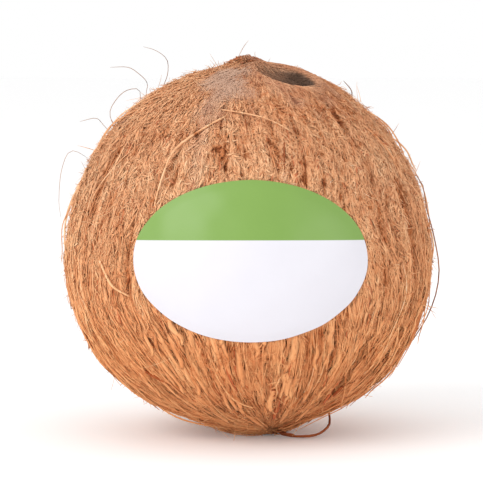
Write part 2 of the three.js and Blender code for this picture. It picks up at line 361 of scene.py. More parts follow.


# %% [markdown]
# Two places on the husk have looks of their own. Grey felt lies in a streak from the crown to the
# sticker, and the dish is dark: dark brown of its own, with painted shade that is deepest at its
# near right end. Each is told as a share from 0 to 1 at any direction, which the relief, the fibres
# and the colours all use.

# %% The grey felt and the dark dish
FELT_LINE = [(-7.5, 51.5), (-5, 46.5), (-10.5, 43.5), (-13, 36), (-15.5, 26), (-17.5, 16)]
FELT_WIDTHS = [7.0, 6.0, 4.5, 3.4, 2.8, 2.2]
FELT_STRENGTHS = [0.9, 0.8, 0.6, 0.34, 0.24, 0.18]
FELT_STEPS = 26
FELT_WANDER = dict(seed=5, wavelength=9)  # the noise that frays the felt's edges
CROWN_FELT = 0.3  # how much felt lies all round the dish
DISH_DARK_END = unit(np.array([0.9, -0.35, -0.25]))
DISH_FAR_SHARE = 0.45  # how dark the dish is at its far wall


def seen_direction(across, up, radius=WAIST_RADIUS):
    """The direction of a point at a radius, placed as the camera sees it from the middle."""
    depth = math.sqrt(max(0.0, radius ** 2 - across ** 2 - up ** 2))
    return unit(np.array([
        across,
        up * math.sin(LOOK_DOWN) - depth * math.cos(LOOK_DOWN),
        up * math.cos(LOOK_DOWN) + depth * math.sin(LOOK_DOWN),
    ]))


def felt_share(directions):
    """1 in the grey felted streak that runs from the crown to the sticker, 0 away from it."""
    share = np.zeros(directions.shape[:-1])
    wander = 1 + 0.35 * soft_noise(directions, **FELT_WANDER)
    line = np.array(FELT_LINE)
    places = np.linspace(0, len(line) - 1, FELT_STEPS)
    steps = np.arange(len(line))
    for place in places:
        across, up = np.interp(place, steps, line[:, 0]), np.interp(place, steps, line[:, 1])
        width = np.interp(place, steps, FELT_WIDTHS)
        strength = np.interp(place, steps, FELT_STRENGTHS)
        distance = distance_from(directions, seen_direction(across, up)) / (width * wander)
        share = np.maximum(share, strength * (1 - smooth_step(distance, 0.4, 1.3)))
    crown = 1 - smooth_step(from_crown(directions) * wander, 9, 22)
    return np.maximum(share, CROWN_FELT * crown)


def dish_colour_and_shade(directions):
    """How dark the dish is, its own dark brown and its painted shade together: 1 at its near right
    end, less at the far wall, 0 outside it.
    """
    near = (directions - CROWN_DIRECTION) @ DISH_DARK_END * WAIST_RADIUS / DISH["radius"]
    near = smooth_step(near, -1.1, 0.1)
    edge = smooth_step(from_crown(directions), 6.4 + 2.2 * near, 9.8)
    return (DISH_FAR_SHARE + (1 - DISH_FAR_SHARE) * near) * (1 - edge)


print("felt above the sticker", felt_share(seen_direction(-5, 46)).round(2),
      "and beside it", felt_share(seen_direction(40, 20)).round(2))


# %% [markdown]
# The husk's unevenness is noise that is stretched along the lines. Random numbers on a grid
# of lines and rows are blurred more along the lines than across them. A blur made by a
# Fourier transform wraps round the fruit, so it leaves no seam at the back. Each grid is
# unevenness of one kind and size.

# %% Noise along the lines
COLUMNS = 520
ROWS = 182


def wrapped_blur(grid, across, along):
    """A soft blur of a grid, right round its columns and along its rows."""
    columns = np.fft.fftfreq(grid.shape[1])
    rows = np.fft.fftfreq(grid.shape[0])
    keep = np.exp(-2 * (math.pi * across * columns[None, :]) ** 2
                  - 2 * (math.pi * along * rows[:, None]) ** 2)
    blurred = np.real(np.fft.ifft2(np.fft.fft2(grid) * keep))
    return blurred / blurred.std()


def look_up(grid, column, row):
    """The grid's value at a place between its points."""
    column, row = column % grid.shape[1], np.clip(row, 0, grid.shape[0] - 1.001)
    left, low = np.floor(column).astype(int), np.floor(row).astype(int)
    right, high = (left + 1) % grid.shape[1], low + 1
    x, y = column - left, row - low
    return ((1 - y) * ((1 - x) * grid[low, left % grid.shape[1]] + x * grid[low, right])
            + y * ((1 - x) * grid[high, left % grid.shape[1]] + x * grid[high, right]))


def grid_noise(seed, across, along):
    """Noise over the lines, its blurs given in mm across the lines and along them."""
    grid = np.random.default_rng(seed).normal(size=(ROWS, COLUMNS))
    across *= COLUMNS / GIRTH
    along *= ROWS / (math.pi * WAIST_RADIUS)
    return wrapped_blur(grid, across, along)


def grid_place(line, polar):
    """The column and the row of a place, so far down a line."""
    return line / (2 * math.pi) * COLUMNS, polar / math.pi * (ROWS - 1)


def sampled(grid, directions):
    return look_up(grid, *grid_place(*line_and_polar(directions)))


BUNDLES = grid_noise(11, across=1.9, along=24)
STRANDS = grid_noise(12, across=0.75, along=9)
PITS = grid_noise(13, across=0.6, along=1.5)
BANDS = grid_noise(14, across=1.3, along=14)
CLUMPS = grid_noise(15, across=1.2, along=2.6)
print("five grids of", COLUMNS, "lines and", ROWS, "rows")


# %% [markdown]
# The relief adds the grids up to a height in millimetres: ridges of fibre bundles, finer
# strands, and on the upper part pits and clumps. It is calmed under the sticker, in the
# felt, round the dish and on the smooth middle of the lower front.

# %% The relief
SMOOTH_FRONT = seen_direction(1, -43)
BUNDLE_HEIGHT = 0.85
BUNDLE_CREASE = 0.7  # less than 1 pinches the furrows between the bundles to creases
BUNDLE_MEAN = 0.75  # taken off, so that ridges and furrows balance
BUNDLES_ABOVE = 0.45  # the share of the bundles' height that the worn upper part has
STRAND_HEIGHT = 0.42
PIT_DEPTH = 0.8
CLUMP_HEIGHT = 0.3


def under_the_sticker(directions):
    """1 on the smooth middle of the front, below the sticker, and 0 away from it."""
    return 1 - smooth_step(distance_from(directions, SMOOTH_FRONT), 8, 26)


def relief(directions):
    """The height of the bundles, strands and pits at a place, in mm."""
    line, polar = line_and_polar(directions)
    column, row = grid_place(line, polar)
    low = smooth_step(-directions[..., 2], -0.45, 0.35)
    calm = smooth_step(sticker_reach(directions), 1.0, 1.08) * (1 - 0.7 * felt_share(directions))
    calm = calm * smooth_step(from_crown(directions), 9, 16)
    calm = calm * (1 - 0.4 * under_the_sticker(directions))
    bundles = np.abs(look_up(BUNDLES, column, row)) ** BUNDLE_CREASE
    bundles = (bundles - BUNDLE_MEAN) * BUNDLE_HEIGHT
    bundles = (BUNDLES_ABOVE + (1 - BUNDLES_ABOVE) * low) * bundles
    strands = np.tanh(look_up(STRANDS, column, row)) * STRAND_HEIGHT
    pits = -smooth_step(look_up(PITS, column, row), 0.9, 1.7) * PIT_DEPTH
    clumps = np.tanh(look_up(CLUMPS, column, row)) * CLUMP_HEIGHT
    height = bundles + strands + (pits + clumps) * (1 - 0.6 * low)
    return height * np.sin(polar) ** 0.6 * calm


front = relief(unit(np.array([[x, -1.0, -0.9] for x in np.linspace(-0.5, 0.5, 400)])))
print("relief under the sticker from", front.min().round(2), "to", front.max().round(2), "mm")


# %% [markdown]
# The husk body starts as a UV sphere, whose lines already run from pole to pole. Each
# vertex is moved to the formula's radius and then up or down by the relief. A Displace
# modifier could do this with an image, but numbers on the vertices keep the furrows exactly
# along the fibres. Values are stored in the mesh for the shader to read: the relief's
# height, the shares of felt and dish, and the place across the lines and along them.

# %% The husk body
POLE_CROWDING = 0.2  # rows stand closer towards the ends of the lines
BODY_SINK = 0.18  # the solid husk lies this deep under the coat of fibres


def store(mesh, name, values, domain="POINT"):
    attribute = mesh.attributes.new(name, "FLOAT", domain)
    attribute.data.foreach_set("value", np.asarray(values, np.float32))


def store_flow(mesh, directions):
    """Stores the place across the lines and along them. The way across starts anew at the
    back, so each corner of a face takes it from its own side of that seam."""
    flow = flow_place(directions)
    corner = np.empty(len(mesh.loops), np.int32)
    mesh.loops.foreach_get("vertex_index", corner)
    around = np.empty(2 * len(mesh.loops))
    mesh.uv_layers[0].data.foreach_get("uv", around)
    rough_line = (around[::2] - 0.5) * GIRTH
    across = flow[corner, 0]
    across = across + GIRTH * np.round((rough_line - across) / GIRTH)
    store(mesh, "across", across, "CORNER")
    store(mesh, "along", flow[:, 1])


def add_husk():
    bpy.ops.object.select_all(action="DESELECT")
    bpy.ops.mesh.primitive_uv_sphere_add(segments=COLUMNS, ring_count=ROWS, radius=1)
    husk = bpy.context.object
    husk.name = "husk"
    mesh = husk.data
    place = np.empty(3 * len(mesh.vertices))
    mesh.vertices.foreach_get("co", place)
    place = place.reshape(-1, 3)
    even = np.arccos(np.clip(place[:, 2], -1, 1))
    polar = even - POLE_CROWDING * np.sin(2 * even)
    azimuth = np.arctan2(place[:, 1], place[:, 0])
    directions = fibre_direction(azimuth, polar)
    height = relief(directions)
    points = on_husk(directions, height - BODY_SINK)
    points[:, 2] = np.maximum(points[:, 2], 0)
    mesh.vertices.foreach_set("co", points.ravel())
    store(mesh, "height", height)
    store(mesh, "felt", felt_share(directions))
    store(mesh, "dish", dish_colour_and_shade(directions))
    store_flow(mesh, directions)
    mesh.uv_layers[0].name = "OFBake"
    bpy.ops.object.shade_smooth()
    mesh.update()
    return husk


husk = add_husk()
print("husk faces", len(husk.data.polygons), "box", np.round(np.array(husk.bound_box)[[0, 6]], 4))


# %% [markdown]
# All husk material is the same stuff, dry brown fibre, so its colours are set down once for the
# husk body and every layer of fibre. A tint of 0 gives the darkest strands and 1 the palest. Felt
# pulls the colour to grey, the dish to dark brown, and rust turns a few strands orange. The average
# tones of some regions were measured in the photograph and in the render, and these colours were
# corrected until the two came close.

# %% Husk colours
def colour(red, green, blue):
    """A linear colour from the usual 0 to 255 numbers."""
    def linear(value):
        value /= 255
        return value / 12.92 if value <= 0.04045 else ((value + 0.055) / 1.055) ** 2.4
    return (linear(red), linear(green), linear(blue), 1)


TINTS = [
    (0.00, colour(154, 84, 46)),
    (0.16, colour(192, 119, 72)),
    (0.40, colour(221, 158, 113)),
    (0.66, colour(235, 180, 135)),
    (0.88, colour(243, 201, 159)),
    (1.00, colour(250, 222, 192)),
]
FELT_COLOUR = colour(202, 168, 146)
# The dish's own dark brown, which also paints the shade in its hollow, and the grey of some placed
# strands
DISH_COLOUR = colour(102, 76, 60)
RUST_COLOUR = colour(188, 100, 60)
LOW_TONE = colour(252, 231, 206)  # what the colours are multiplied by near the tuft
print("tints from dark to pale:", len(TINTS))


# %% [markdown]
# Shader nodes are wired in code here. Each of these small helpers adds one kind of node and
# hands back the socket that comes out of it, so that a pattern reads as a chain of steps,
# as it would look in the node editor from left to right.

# %% Helpers for shader nodes
def feed(tree, value, target):
    """Sets a socket to a number or a colour, or links it to another node's output."""
    if isinstance(value, bpy.types.NodeSocket):
        tree.links.new(value, target)
    else:
        target.default_value = value


def mix_colour(tree, factor, first, second, blend="MIX"):
    mix = tree.nodes.new("ShaderNodeMix")
    mix.data_type = "RGBA"
    mix.blend_type = blend
    tree.links.new(factor, mix.inputs["Factor"])
    ends = [end for end in mix.inputs if end.type == "RGBA"]
    for value, end in zip((first, second), ends):
        feed(tree, value, end)
    return next(end for end in mix.outputs if end.type == "RGBA")


def remapped(tree, value, low, high, to_low, to_high):
    """Takes low to to_low and high to to_high, and stays there beyond them."""
    remap = tree.nodes.new("ShaderNodeMapRange")
    for name, number in (("From Min", low), ("From Max", high),
                         ("To Min", to_low), ("To Max", to_high)):
        remap.inputs[name].default_value = number
    tree.links.new(value, remap.inputs["Value"])
    return remap.outputs["Result"]


def maths(tree, operation, first, second=0.0):
    node = tree.nodes.new("ShaderNodeMath")
    node.operation = operation
    feed(tree, first, node.inputs[0])
    feed(tree, second, node.inputs[1])
    return node.outputs["Value"]


def noise(tree, vector, scale, detail=3.0):
    texture = tree.nodes.new("ShaderNodeTexNoise")
    texture.inputs["Scale"].default_value = scale
    texture.inputs["Detail"].default_value = detail
    tree.links.new(vector, texture.inputs["Vector"])
    return texture.outputs["Fac"]


def stretched_noise(tree, vector, stretch, detail=2.0):
    mapping = tree.nodes.new("ShaderNodeMapping")
    mapping.inputs["Scale"].default_value = stretch
    tree.links.new(vector, mapping.inputs["Vector"])
    return noise(tree, mapping.outputs["Vector"], 1, detail)


# %% [markdown]
# Between the fibres of a real husk are pits and cracks, dark with shade. The larger ones are in the
# relief and the fibres. The smaller ones are painted here, as painted shade in the colour and as
# dents in the bump, because to model them would take millions of faces. They are noise, stretched
# to the size of a pit or drawn out to long thin lines. Pits belong to the worn upper part, and
# cracks to the lower part.

# %% Pits and cracks
PIT_STRETCH = (1 / 1.3, 1 / 2.6, 1)  # 1 / mm across the fibres and 1 / mm along them
CRACK_STRETCH = (1 / 2.6, 1 / 22, 1)
BREAK_STRETCH = (1 / 2.2, 1 / 7, 1)
PITS_BELOW = 0.45  # the share of the pits that is left on the lower part
CRACKS_ABOVE = 0.35  # and of the cracks on the upper part


def gaps_between_fibres(tree, flow, low, felt):
    """1 or more in the pits and cracks, whose shade is painted, 0 away from them."""
    pits = remapped(tree, stretched_noise(tree, flow, PIT_STRETCH), 0.54, 0.66, 0, 1)
    pits = maths(tree, "MULTIPLY", pits, remapped(tree, low, 0, 1, 1, PITS_BELOW))
    from_crack = maths(tree, "SUBTRACT", stretched_noise(tree, flow, CRACK_STRETCH), 0.5)
    cracks = remapped(tree, maths(tree, "ABSOLUTE", from_crack), 0.0, 0.03, 1.3, 0)
    unbroken = remapped(tree, stretched_noise(tree, flow, BREAK_STRETCH), 0.47, 0.56, 0, 1)
    cracks = maths(tree, "MULTIPLY", cracks, unbroken)
    cracks = maths(tree, "MULTIPLY", cracks, remapped(tree, low, 0, 1, CRACKS_ABOVE, 1))
    gaps = maths(tree, "MAXIMUM", pits, cracks)
    return maths(tree, "MULTIPLY", gaps, remapped(tree, felt, 0, 0.8, 1, 0.35))


# %% [markdown]
# A fibre's tint isn't the same all along it. It gets darker in furrows and in the gaps, which is
# painted shade. It is lighter to the left and a little darker to the right, which is painted light
# from the key lamp's side. It is also darker at the very top, and fine streaks run through it. The
# tint is then looked up in a ramp of colours, where the list of tints above sets the stops.

# %% Shading the tint
# Painted shade in deep furrows and in the gaps, and painted light that is stronger on the left, the
# key lamp's side
PAINTED_FURROW_SHADE = (-0.95, -0.25, -0.4, 0.0)  # from one relief height to another, in mm, the
PAINTED_SIDE_LIGHT = (-0.058, 0.055, 0.08, -0.03)  # tint changes by so much; then the same from
TOP_SHADE = (0.076, 0.108, 0.0, -0.14)  # left to right and from low to high, in metres
STREAK_SHADE = (0.3, 0.7, -0.13, 0.1)
PAINTED_GAP_SHADE = 0.24


def shaded_tint(tree, tint, place, height, streaks, gaps):
    for value, shade in ((height, PAINTED_FURROW_SHADE), (place["X"], PAINTED_SIDE_LIGHT),
                         (place["Z"], TOP_SHADE)):
        tint = maths(tree, "ADD", tint, remapped(tree, value, *shade))
    tint = maths(tree, "SUBTRACT", tint, maths(tree, "MULTIPLY", gaps, PAINTED_GAP_SHADE))
    return maths(tree, "ADD", tint, remapped(tree, streaks, *STREAK_SHADE))


def ramp_of_tints(tree, tint):
    ramp = tree.nodes.new("ShaderNodeValToRGB")
    stops = ramp.color_ramp.elements
    while len(stops) < len(TINTS):
        stops.new(0.5)
    for stop, (position, value) in zip(stops, TINTS):
        stop.position = position
        stop.color = value
    tree.links.new(tint, ramp.inputs["Fac"])
    return ramp.outputs["Color"]


# %% [markdown]
# One node group mixes the husk's colour, so that the body and the fibres can't drift apart.
# It reads what each piece stores in its mesh. It gives the colour, and a grain, the fine
# streaks less the gaps, from which a material makes its roughness and its bump.

# %% The husk's colour group
STREAK_STRETCH = (1 / 0.9, 1 / 13, 1)
LOW_PART = (0.078, 0.03)  # the height where it begins and where it is full, in metres


def husk_colour_group():
    tree = bpy.data.node_groups.new("husk colour", "ShaderNodeTree")
    for name in ("Tint", "Rust", "Felt", "Dish", "Across", "Along", "Height"):
        tree.interface.new_socket(name=name, in_out="INPUT", socket_type="NodeSocketFloat")
    for name, kind in (("Colour", "NodeSocketColor"), ("Grain", "NodeSocketFloat")):
        tree.interface.new_socket(name=name, in_out="OUTPUT", socket_type=kind)
    given = tree.nodes.new("NodeGroupInput").outputs
    where = tree.nodes.new("ShaderNodeTexCoord")
    apart = tree.nodes.new("ShaderNodeSeparateXYZ")
    tree.links.new(where.outputs["Object"], apart.inputs["Vector"])
    place = apart.outputs
    flow = tree.nodes.new("ShaderNodeCombineXYZ")
    tree.links.new(given["Across"], flow.inputs["X"])
    tree.links.new(given["Along"], flow.inputs["Y"])
    flow = flow.outputs["Vector"]
    low = remapped(tree, place["Z"], *LOW_PART, 0, 1)
    gaps = gaps_between_fibres(tree, flow, low, given["Felt"])
    streaks = stretched_noise(tree, flow, STREAK_STRETCH, detail=3)
    tint = shaded_tint(tree, given["Tint"], place, given["Height"], streaks, gaps)
    rusty = mix_colour(tree, given["Rust"], ramp_of_tints(tree, tint), RUST_COLOUR)
    felted = mix_colour(tree, given["Felt"], rusty, FELT_COLOUR)
    dark = mix_colour(tree, given["Dish"], felted, DISH_COLOUR)
    warm = mix_colour(tree, low, dark, LOW_TONE, "MULTIPLY")
    result = tree.nodes.new("NodeGroupOutput")
    tree.links.new(warm, result.inputs["Colour"])
    tree.links.new(maths(tree, "SUBTRACT", streaks, gaps), result.inputs["Grain"])
    return tree


HUSK_COLOURS = husk_colour_group()
print("nodes in the colour group", len(HUSK_COLOURS.nodes))


# %% [markdown]
# The husk body's own material is seen in the furrows between the fibres. Its tint is flecked. The
# colour group darkens it with depth, which is painted shade, and streaks it along the fibres, and
# the group's grain also drives the roughness and a bump.

# %% The material of the husk body
FLECK_STRETCH = (150, 40, 1)  # flecks in the whole map, across and up


def new_material(name):
    material = bpy.data.materials.new(name)
    material.use_nodes = True
    tree = material.node_tree
    return material, tree, tree.nodes["Principled BSDF"]


def read_value(tree, name):
    reader = tree.nodes.new("ShaderNodeAttribute")
    reader.attribute_name = name
    return reader.outputs["Fac"]


def bumped(tree, shader, height, depth_mm):
    bump = tree.nodes.new("ShaderNodeBump")
    bump.inputs["Strength"].default_value = 1
    bump.inputs["Distance"].default_value = depth_mm * MM
    tree.links.new(height, bump.inputs["Height"])
    tree.links.new(bump.outputs["Normal"], shader.inputs["Normal"])


def husk_colour(tree, tint, rust):
    """The husk's colour and its grain, from the values stored on the piece."""
    group = tree.nodes.new("ShaderNodeGroup")
    group.node_tree = HUSK_COLOURS
    for name in ("Felt", "Dish", "Across", "Along", "Height"):
        tree.links.new(read_value(tree, name.lower()), group.inputs[name])
    tree.links.new(tint, group.inputs["Tint"])
    tree.links.new(rust, group.inputs["Rust"])
    return group.outputs["Colour"], group.outputs["Grain"]


def husk_material():
    material, tree, shader = new_material("husk body")
    around = tree.nodes.new("ShaderNodeUVMap")
    around.uv_map = "OFBake"
    flecks = stretched_noise(tree, around.outputs["UV"], FLECK_STRETCH, detail=3)
    tint = remapped(tree, flecks, 0.3, 0.7, 0.46, 0.58)
    rust = remapped(tree, flecks, 0.62, 0.72, 0, 0.5)
    base, grain = husk_colour(tree, tint, rust)
    tree.links.new(base, shader.inputs["Base Color"])
    tree.links.new(remapped(tree, grain, -0.5, 0.6, 0.95, 0.75), shader.inputs["Roughness"])
    shader.inputs["Specular IOR Level"].default_value = 0.25
    bumped(tree, shader, grain, 0.6)
    return material


husk.data.materials.append(husk_material())
print("materials so far", [material.name for material in bpy.data.materials])


# %% [markdown]
# One fibre is modelled once: a thin rod with three sides, cut along its length by
# subdividing its long edges, and drawn in towards both ends. Every fibre of a layer is a
# copy of it, bent along its own path on the husk and joined with its neighbours into one
# mesh. Blender's hair system could grow them too, but fibres that lie flat, dive under the
# sticker and keep a real thickness as mesh are easier to lay by their paths.

# %% One fibre
TIP_SHARE = 0.35  # how wide a fibre is at its ends, as a share of its middle


def model_fibre(cuts):
    """A rod from z 0 to 1, half a unit in radius, with cuts rings between its ends."""
    bpy.ops.object.select_all(action="DESELECT")
    bpy.ops.mesh.primitive_cylinder_add(
        vertices=3, radius=0.5, depth=1, end_fill_type="TRIFAN", location=(0, 0, 0.5))
    rod = bpy.context.object
    bpy.ops.object.transform_apply(location=True, rotation=False, scale=False)
    bpy.ops.object.mode_set(mode="EDIT")
    bpy.ops.mesh.select_mode(type="EDGE")
    bpy.ops.mesh.select_all(action="DESELECT")
    work = bmesh.from_edit_mesh(rod.data)
    for edge in work.edges:
        edge.select_set(abs(edge.verts[0].co.z - edge.verts[1].co.z) > 0.5)
    bmesh.update_edit_mesh(rod.data)
    bpy.ops.mesh.subdivide(number_cuts=cuts)
    bpy.ops.object.mode_set(mode="OBJECT")
    for vertex in rod.data.vertices:
        along = vertex.co.z
        width = TIP_SHARE + (1 - TIP_SHARE) * math.sin(math.pi * along) ** 0.5
        vertex.co.x *= width
        vertex.co.y *= width
    return rod


# %% [markdown]
# So that a fibre's colour can be painted into a picture without touching its neighbour's,
# each copy gets a small square cell of its own in the map OFBake. The rod's three sides
# stand next to each other in the cell, with the little end triangles below and above them.
# The rod is then taken apart into plain numbers, because thousands of copies are made fast
# from arrays, and slowly by operators.

# %% The fibre's cell in the map
CELL_MARGIN = 0.05  # shares of the cell's width that are left free at its sides
SIDE_MARGIN = 0.05  # and of a side's width
END_HEIGHTS = dict(centre=0.02, rim=0.08)  # the ends' triangles lie between these heights
SIDE_HEIGHT = 0.1  # and the sides start at this one


def fibre_cells(rod):
    """Where each corner of the fibre's faces lies in its cell."""
    cells = []
    for face in rod.data.polygons:
        corners = [rod.data.vertices[index].co for index in face.vertices]
        middle = sum((Vector(corner) for corner in corners), Vector()) / len(corners)
        towards = math.atan2(middle.y, middle.x)
        side = round(3 * towards / (2 * math.pi)) % 3
        flat = len({round(corner.z, 4) for corner in corners}) == 1
        for corner in corners:
            turn = math.atan2(corner.y, corner.x) - towards
            turn = (turn + math.pi) % (2 * math.pi) - math.pi
            across = 1 - SIDE_MARGIN if turn > 0 else SIDE_MARGIN
            up = SIDE_HEIGHT + (1 - 2 * SIDE_HEIGHT) * corner.z
            if flat:
                in_centre = math.hypot(corner.x, corner.y) < 1e-4
                across = 0.5 if in_centre else across
                end = END_HEIGHTS["centre" if in_centre else "rim"]
                up = end if corner.z < 0.5 else 1 - end
            cells.append((CELL_MARGIN + (1 - 2 * CELL_MARGIN) * (side + across) / 3, up))
    return np.array(cells)


def take_apart(rod):
    """The fibre's corners, faces and map cell as plain arrays, and the rod removed."""
    mesh = rod.data
    corners = np.array([vertex.co for vertex in mesh.vertices])
    stations = len(set(corners[:, 2].round(4)))
    parts = dict(
        corners=corners,
        stations=stations,
        station=np.round(corners[:, 2] * (stations - 1)).astype(int),
        loops=np.array([index for face in mesh.polygons for index in face.vertices]),
        sizes=np.array([len(face.vertices) for face in mesh.polygons]),
        cells=fibre_cells(rod),
    )
    bpy.data.objects.remove(rod)
    return parts


short_fibre = take_apart(model_fibre(cuts=2))
curly_fibre = take_apart(model_fibre(cuts=4))
long_fibre = take_apart(model_fibre(cuts=5))
hair_fibre = take_apart(model_fibre(cuts=7))
strand_fibre = take_apart(model_fibre(cuts=17))
print("triangles in a long fibre", int((long_fibre["sizes"] - 2).sum()))


# %% [markdown]
# A copy is bent by moving each of its rings to a point of its path, square to the path and
# with its flat side to the husk. All copies of a layer are joined in one mesh, and each
# carries the values that the colour group reads: a tint of its own, and the shares and
# places of the husk underneath it.

# %% Copying the fibre along paths
def bent_copies(fibre, paths, outward, widths, flatness):
    """The corners of every copy, in metres."""
    corners, station = fibre["corners"], fibre["station"]
    ahead = unit(np.gradient(paths, axis=1))
    sideways = unit(np.cross(outward, ahead))
    upward = np.cross(ahead, sideways)
    half = (widths * MM)[:, None, None]
    points = (paths[:, station]
              + half * corners[None, :, :1] * sideways[:, station]
              + half * flatness * corners[None, :, 1:2] * upward[:, station])
    points[..., 2] = np.maximum(points[..., 2], 0)
    return points


def joined_copies(name, fibre, points):
    """One mesh of all the copies, each with its cell in the map."""
    count, per_fibre = points.shape[:2]
    loops = (fibre["loops"][None, :] + per_fibre * np.arange(count)[:, None]).ravel()
    sizes = np.tile(fibre["sizes"], count)
    mesh = bpy.data.meshes.new(name)
    mesh.vertices.add(count * per_fibre)
    mesh.vertices.foreach_set("co", points.ravel())
    mesh.loops.add(len(loops))
    mesh.loops.foreach_set("vertex_index", loops)
    mesh.polygons.add(len(sizes))
    mesh.polygons.foreach_set("loop_start", np.concatenate([[0], np.cumsum(sizes)[:-1]]))
    mesh.update(calc_edges=True)
    side = math.ceil(math.sqrt(count))
    number = np.arange(count)
    origin = np.stack([number % side, number // side], -1) / side
    cells = origin[:, None] + fibre["cells"][None] / side
    mesh.uv_layers.new(name="OFBake").data.foreach_set("uv", cells.ravel())
    return mesh


def copy_fibres(name, fibre, paths, outward, widths, tints, flatness, extras):
    """One piece of many fibres. Paths holds the points of each in metres, root to tip, and
    outward the directions of those points from the fruit's middle."""
    corners, station = fibre["corners"], fibre["station"]
    points = bent_copies(fibre, paths, outward, widths, flatness)
    mesh = joined_copies(name, fibre, points)
    flow = flow_place(outward)
    flow[..., 0] -= GIRTH * np.round((flow[..., 0] - flow[:, :1, 0]) / GIRTH)
    store(mesh, "across", (flow[:, station, 0] + widths[:, None] * corners[None, :, 0]).ravel())
    store(mesh, "along", flow[:, station, 1].ravel())
    store(mesh, "height", relief(outward)[:, station].ravel())
    for label, values in dict(tint=tints, **extras).items():
        store(mesh, label, np.repeat(values, len(corners)))
    mesh.validate()
    piece = bpy.data.objects.new(name, mesh)
    bpy.context.scene.collection.objects.link(piece)
    mesh.shade_smooth()
    return piece


# %% [markdown]
# The fibres' material is simple, since each fibre is so thin: its tint, mottled a little
# along its length, and a matt finish. The colour group adds the rest.

# %% The material of the fibres
MOTTLE_SCALE = 420  # patches of about 2 mm


def fibre_material():
    material, tree, shader = new_material("fibre")
    where = tree.nodes.new("ShaderNodeTexCoord").outputs["Object"]
    mottle = noise(tree, where, MOTTLE_SCALE, 2)
    tint = maths(tree, "ADD", read_value(tree, "tint"),
                 remapped(tree, mottle, 0.3, 0.7, -0.08, 0.08))
    base, grain = husk_colour(tree, tint, read_value(tree, "rust"))
    tree.links.new(base, shader.inputs["Base Color"])
    tree.links.new(remapped(tree, mottle, 0.3, 0.7, 0.9, 0.7), shader.inputs["Roughness"])
    shader.inputs["Specular IOR Level"].default_value = 0.25
    bumped(tree, shader, grain, 0.25)
    return material


FIBRE_FINISH = fibre_material()


# %% [markdown]
# A layer starts with places that are drawn evenly over the fruit, or over a patch of it, and
# are kept by chance, more of them where the layer is thicker. From its place a fibre walks
# over the husk both ways, bending as it goes. Where it comes to the sticker it dives under
# it, so that the sticker's edge stays clean.

# %% Places and paths
WHOLE_FRUIT = (CROWN_DIRECTION, math.pi * WAIST_RADIUS)
SPARE_PLACES = 5  # how many are drawn for each one that is wanted
UNDER_STICKER = -1.0


def chosen_places(random, count, thickness, patch=WHOLE_FRUIT):
    """Directions over a patch, an axis and a reach in mm, thinned by the thickness."""
    axis, reach = patch
    drawn = SPARE_PLACES * count
    ahead = 1 - random.uniform(size=drawn) * (1 - math.cos(reach / WAIST_RADIUS))
    turn = random.uniform(0, 2 * math.pi, drawn)
    side = unit(np.cross(axis, [0.0, 1.0, 0.3]))
    other = np.cross(axis, side)
    out = np.sqrt(1 - ahead ** 2)[:, None]
    directions = (ahead[:, None] * axis + out * np.cos(turn)[:, None] * side
                  + out * np.sin(turn)[:, None] * other)
    kept = directions[random.uniform(size=drawn) < thickness(directions)]
    return kept[:count]


def walk(directions, way, heading, bend, lengths, stations):
    """Points of each path on the unit sphere, from one end to the other."""
    down = way(directions)
    aside = np.cross(down, directions)
    share = np.linspace(-0.5, 0.5, stations)
    turn = heading[:, None] + bend[:, None] * share[None, :]
    step = lengths[:, None] / (stations - 1)
    x = np.cumsum(np.cos(turn) * step, axis=1)
    y = np.cumsum(np.sin(turn) * step, axis=1)
    x -= x.mean(1, keepdims=True)
    y -= y.mean(1, keepdims=True)
    return unit(directions[:, None] + (x[..., None] * down[:, None]
                                       + y[..., None] * aside[:, None]) / WAIST_RADIUS)


def settle(paths, lifts):
    """The lifts, with the fibres pushed down where they pass under the sticker."""
    clear = smooth_step(sticker_reach(paths), 0.97, 1.02)
    return UNDER_STICKER + (lifts - UNDER_STICKER) * clear


# %% [markdown]
# The fibres of a layer share their finish, but not their looks. Each has a tint of its own
# that goes with the bands and clumps of the husk, so that patches of a darker or paler tone
# show through all the layers, and a few fibres are rusty. A layer with many fibres becomes
# two pieces or more, because a single mesh should not grow too large.

# %% Looks and pieces
MOST_TRIANGLES = 195000  # in one piece


def tints_at(random, directions, middle, spread):
    """A tint for each fibre: banded along the lines, darker in furrows as painted shade, and a
    little random.
    """
    shade = (middle + spread * random.normal(size=len(directions))
             + 0.05 * sampled(BANDS, directions) + 0.045 * sampled(CLUMPS, directions)
             + 0.05 * soft_noise(directions, 31, 17))
    return np.clip(shade, 0, 1)


def rust_at(random, count, share):
    return np.where(random.uniform(size=count) < share, random.uniform(0.3, 0.9, count), 0)


def pieces_of_fibres(name, fibre, paths, lifts, widths, tints, rust, flatness=0.7):
    """Joins fibres into as many meshes as their triangles need, and gives them their finish."""
    points = on_husk(paths, settle(paths, lifts))
    middles = paths[:, paths.shape[1] // 2]
    extras = dict(rust=rust, felt=felt_share(middles), dish=dish_colour_and_shade(middles))
    per_piece = MOST_TRIANGLES // int((fibre["sizes"] - 2).sum())
    pieces = []
    for start in range(0, len(paths), per_piece):
        part = slice(start, start + per_piece)
        piece = copy_fibres(f"{name}_{len(pieces) + 1}", fibre, points[part], paths[part],
                            widths[part], tints[part], flatness,
                            {label: values[part] for label, values in extras.items()})
        piece.data.materials.append(FIBRE_FINISH)
        pieces.append(piece)
    print(name, len(paths), "fibres in", len(pieces), "pieces")
    return pieces


# %% [markdown]
# Every layer is laid by the same function, with ranges of its own for length, width, heading
# and lift. A particle system has such sliders too, but here each number is in millimetres
# or degrees, and the same seed always gives the same layer.

